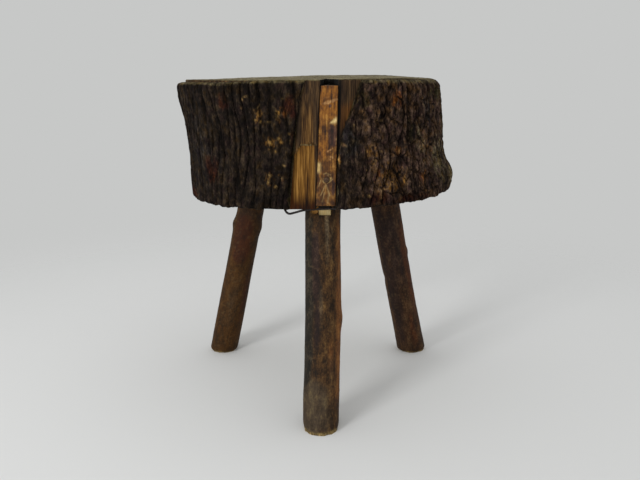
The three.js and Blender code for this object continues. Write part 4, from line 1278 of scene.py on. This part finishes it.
# Ripped softwood board, long handled: satin where it was rubbed, with open grain between. The
# grain is drawn about 1 mm wide, coarser than it is.
amber_pine, tree = new_material("aged ripped softwood board")
where = add_node(tree, "TexCoord").outputs["Object"]
fibre = grain_pattern(tree, where, (1.1, 1.1, 24), 5, 0.65)
blotch = grain_pattern(tree, where, (5, 5, 8), 4, 0.65)
tone = lay_patterns(tree, blotch, (fibre, 0.75))
tone = add_node(tree, "MapRange", {"From Min": 0.66, "From Max": 1.12}, {"Value": tone})
straw_stops = [(0.0, "1f1006"), (0.25, "3a210b"), (0.5, "593612"), (0.75, "764f1e"), (1.0, "996f38")]
strip_tints = {
    "amber": [(0.0, "2b1707"), (0.35, "5f3811"), (0.65, "805019"), (1.0, "a0702f")],
    "worn": [(0.0, "241306"), (0.35, "452910"), (0.65, "623f1a"), (1.0, "8d6633")],
    "purple": [(0.0, "190e0a"), (0.4, "331e16"), (0.7, "4a3023"), (1.0, "684a38")],
    "smear": [(0.0, "63421f"), (0.4, "8d6439"), (0.7, "ab8252"), (1.0, "c4a270")],
    "fresh": [(0.0, "8f723e"), (0.5, "bfa268"), (1.0, "dcc890")],
}
colour = add_node(tree, "ValToRGB", {"stops": straw_stops}, {"Fac": tone})
colour = tint_over(tree, colour, tone, strip_tints)
matt_finish(tree, colour, tone, tone, ior=1.53, gloss=0.2, dullness=(0.55, 0.8), relief=(0.6, 0.4))
strip.data.materials.append(amber_pine)
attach(strip, "root")
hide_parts("filler_strip")


# Nail
# One old wire nail, driven through the strip into the trunk to hold the strip in the split. Its
# domed head is dented by the hammer and rusted brown.
rings = nail_stack(0)
dents = 0.16 * noise(341, rings[..., 0] / 1.4, rings[..., 2] / 1.4)
rings[..., 1] += np.where(rings[..., 1] < -1, np.abs(dents), 0)
nail = add_mesh("nail_iron", *closed_stack(rings[::-1]), nail_place)
smooth(nail, 50)


def rusty_iron(name, dark, rust, grit_size):
    """Mild steel with a thin even rust: nearly black where it is handled, brown where it pits.
    Real grit is far finer, and is drawn about 1 mm across so that it shows."""
    material, tree = new_material(name)
    where = add_node(tree, "TexCoord").outputs["Object"]
    grit = grain_pattern(tree, where, (grit_size, grit_size, grit_size), 5, 0.7)
    rust_stops = [(0.35, dark), (0.55, rust[0]), (0.7, rust[1])]
    colour = add_node(tree, "ValToRGB", {"stops": rust_stops}, {"Fac": grit})
    metal_range = {"From Min": 0.4, "From Max": 0.6, "To Min": 0.7, "To Max": 0.05}
    metal = add_node(tree, "MapRange", metal_range, {"Value": grit})
    dull_range = {"From Min": 0.35, "From Max": 0.65, "To Min": 0.45, "To Max": 0.85}
    dull = add_node(tree, "MapRange", dull_range, {"Value": grit})
    bump = add_node(tree, "Bump", {"Strength": 0.6, "Distance": 0.0002}, {"Height": grit})
    links = {"Base Color": colour, "Metallic": metal, "Roughness": dull, "Normal": bump}
    surface = add_node(tree, "BsdfPrincipled", {}, links)
    add_node(tree, "OutputMaterial", {}, {"Surface": surface})
    return material


nail.data.materials.append(rusty_iron("rusted wire nail", "2a1d12", ("4a3420", "705236"), 0.9))
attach(nail, "root")
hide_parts("strip_nail")
carve(wood, [add_mesh("nail_bore", *closed_stack(nail_stack(fit_gap)[::-1]), nail_place)])


# Wire staple
# Soft black iron wire, bent by hand: both ends are driven up into the trunk, and the bow between
# them crosses under the strip, with a small dip at its left where it was never hammered flat.
wire_radius = 1.1
wire_left = -35.0
wire_right = 27.0
wire_dip = 4.3
wire_back = 6.0
wire_tail = 14.0
wire_y = bare_front_y + 4.0
wire_clear = wire_radius + fit_gap
wire_bite = 0.4  # distance of the wire's middle below the underside, where it has bitten in


def below(x, distance, back=0.0):
    return Vector((x, wire_y + back, underside_at(x) - distance))


wire_route = [
    below(wire_left, -wire_tail, wire_back),
    below(wire_left, -wire_tail / 2, wire_back),
    below(wire_left, -1, wire_back),
    below(wire_left + 2, wire_dip * 0.7, wire_back / 2),
    below(wire_left + 5, wire_dip),
    below(wire_left + 11, wire_dip * 0.75),
    below(wire_left + 19, wire_bite + 0.9),
    below(strip_bottom_x, wire_bite),
    below(wire_right - 5, wire_bite, wire_back / 4),
    below(wire_right - 1.4, wire_bite, wire_back * 0.7),
    below(wire_right, -1.5, wire_back),
    below(wire_right, -wire_tail / 2, wire_back),
    below(wire_right, -wire_tail, wire_back),
]


def smooth_route(route, steps=9):
    """Points along a centripetal Catmull-Rom curve through the route."""
    ends = [route[0] * 2 - route[1], *route, route[-1] * 2 - route[-2]]
    found = []
    for p0, p1, p2, p3 in zip(ends, ends[1:], ends[2:], ends[3:]):
        t1 = (p1 - p0).length ** 0.5
        t2 = t1 + (p2 - p1).length ** 0.5
        t3 = t2 + (p3 - p2).length ** 0.5
        for t in np.linspace(t1, t2, steps, endpoint=False):
            a1 = p0.lerp(p1, t / t1)
            a2 = p1.lerp(p2, (t - t1) / (t2 - t1))
            a3 = p2.lerp(p3, (t - t2) / (t3 - t2))
            b1 = a1.lerp(a2, t / t2)
            b2 = a2.lerp(a3, (t - t1) / (t3 - t1))
            found.append(b1.lerp(b2, (t - t1) / (t2 - t1)))
    return found + [route[-1]]


def tube(route, radius, sides=16):
    """Rings square to a route that lies nearly in one upright plane."""
    rings = []
    for number, point in enumerate(route):
        ahead = (route[min(number + 1, len(route) - 1)] - route[max(number - 1, 0)]).normalized()
        out = ahead.cross(Vector((0, 1, 0))).normalized()
        depth = ahead.cross(out)
        turns = [2 * math.pi * side / sides for side in range(sides)]
        rings.append([point + radius * (math.cos(a) * out + math.sin(a) * depth) for a in turns])
    return np.array(rings)


wire_path = smooth_route(wire_route)
wire = add_mesh("staple_wire", *closed_stack(tube(wire_path, wire_radius)))
smooth(wire, 60)
wire.data.materials.append(rusty_iron("black annealed iron wire", "0d0b0b", ("1c1613", "33241c"), 1.2))
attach(wire, "root")
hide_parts("wire_staple")
carve(wood, [add_mesh("wire_groove", *closed_stack(tube(wire_path, wire_clear)))])


# Floor, lights and camera
# A pale floor that fades into an even grey all round, one broad soft lamp above the front left,
# and a camera a little above the seat, looking down at the stool as the photograph does.
backdrop_grey = "c7c8c7"
paper_white = "e2e3e2"
floor_sides = 96
floor_rings = np.array([0.02, 0.4, 0.8, 1.2, 1.8, 2.6, 3.4, 4.2]) * 1000
circle = np.linspace(0, 2 * math.pi, floor_sides, endpoint=False)
floor_points = [(r * math.cos(a), r * math.sin(a), 0) for r in floor_rings for a in circle]
floor_faces = ring_faces(len(floor_rings), floor_sides, closed=False)
floor_faces.append(tuple(reversed(range(floor_sides))))
floor = add_mesh("studio_floor", floor_points, floor_faces)

# Matt paper that grows clear away from the stool, so that its edge never shows
paper, tree = new_material("matt studio paper")
where = add_node(tree, "TexCoord").outputs["Object"]
distance = add_node(tree, "VectorMath", {"operation": "LENGTH"}, {0: where}).outputs["Value"]
fade_range = {"interpolation_type": "SMOOTHSTEP", "From Min": 0.25, "From Max": 1.0}
fading = add_node(tree, "MapRange", fade_range, {"Value": distance})
matt = add_node(tree, "BsdfDiffuse", {"Color": linear(paper_white)})
clear = add_node(tree, "BsdfTransparent")
blended = add_node(tree, "MixShader", {}, {0: fading, 1: matt, 2: clear})
add_node(tree, "OutputMaterial", {}, {"Surface": blended})
floor.data.materials.append(paper)

# An even white light from all round, which the eye sees as the grey backdrop
world = bpy.data.worlds.new("studio")
bpy.context.scene.world = world
world.use_nodes = True
tree = world.node_tree
tree.nodes.clear()
ray = add_node(tree, "LightPath")
seen = ray.outputs["Is Camera Ray"]
for kind in ("Is Glossy Ray", "Is Transmission Ray"):
    seen = add_node(tree, "Math", {"operation": "MAXIMUM"}, {0: seen, 1: ray.outputs[kind]})
fill = add_node(tree, "Background", {"Color": (1, 1, 1, 1), "Strength": 0.72})
backdrop = add_node(tree, "Background", {"Color": linear(backdrop_grey), "Strength": 1.0})
studio = add_node(tree, "MixShader", {}, {0: seen, 1: fill, 2: backdrop})
add_node(tree, "OutputWorld", {}, {"Surface": studio})

lamp_place = Vector((-1.25, -1.65, 0.8))
lamp_target = Vector((0, 0, 0.2))
soft_light = bpy.data.lights.new("soft_lamp", "AREA")
soft_light.shape = "SQUARE"
soft_light.size = 0.6
soft_light.energy = 23
lamp = bpy.data.objects.new("soft_lamp", soft_light)
lamp.location = lamp_place
lamp.rotation_euler = (lamp_target - lamp_place).to_track_quat("-Z", "Y").to_euler()
bpy.context.scene.collection.objects.link(lamp)

camera_place = Vector((0, -820.5, 363.4))
camera_tilt = 13.66  # degrees below level
camera_data = bpy.data.cameras.new("camera")
camera_data.sensor_width = 36
camera_data.lens = 40.556
camera = bpy.data.objects.new("camera", camera_data)
camera.location = (stool_origin + camera_place) / 1000
camera.rotation_euler = (math.radians(90 - camera_tilt), 0, 0)
bpy.context.scene.collection.objects.link(camera)
bpy.context.scene.camera = camera
bpy.context.scene.view_settings.view_transform = "Standard"
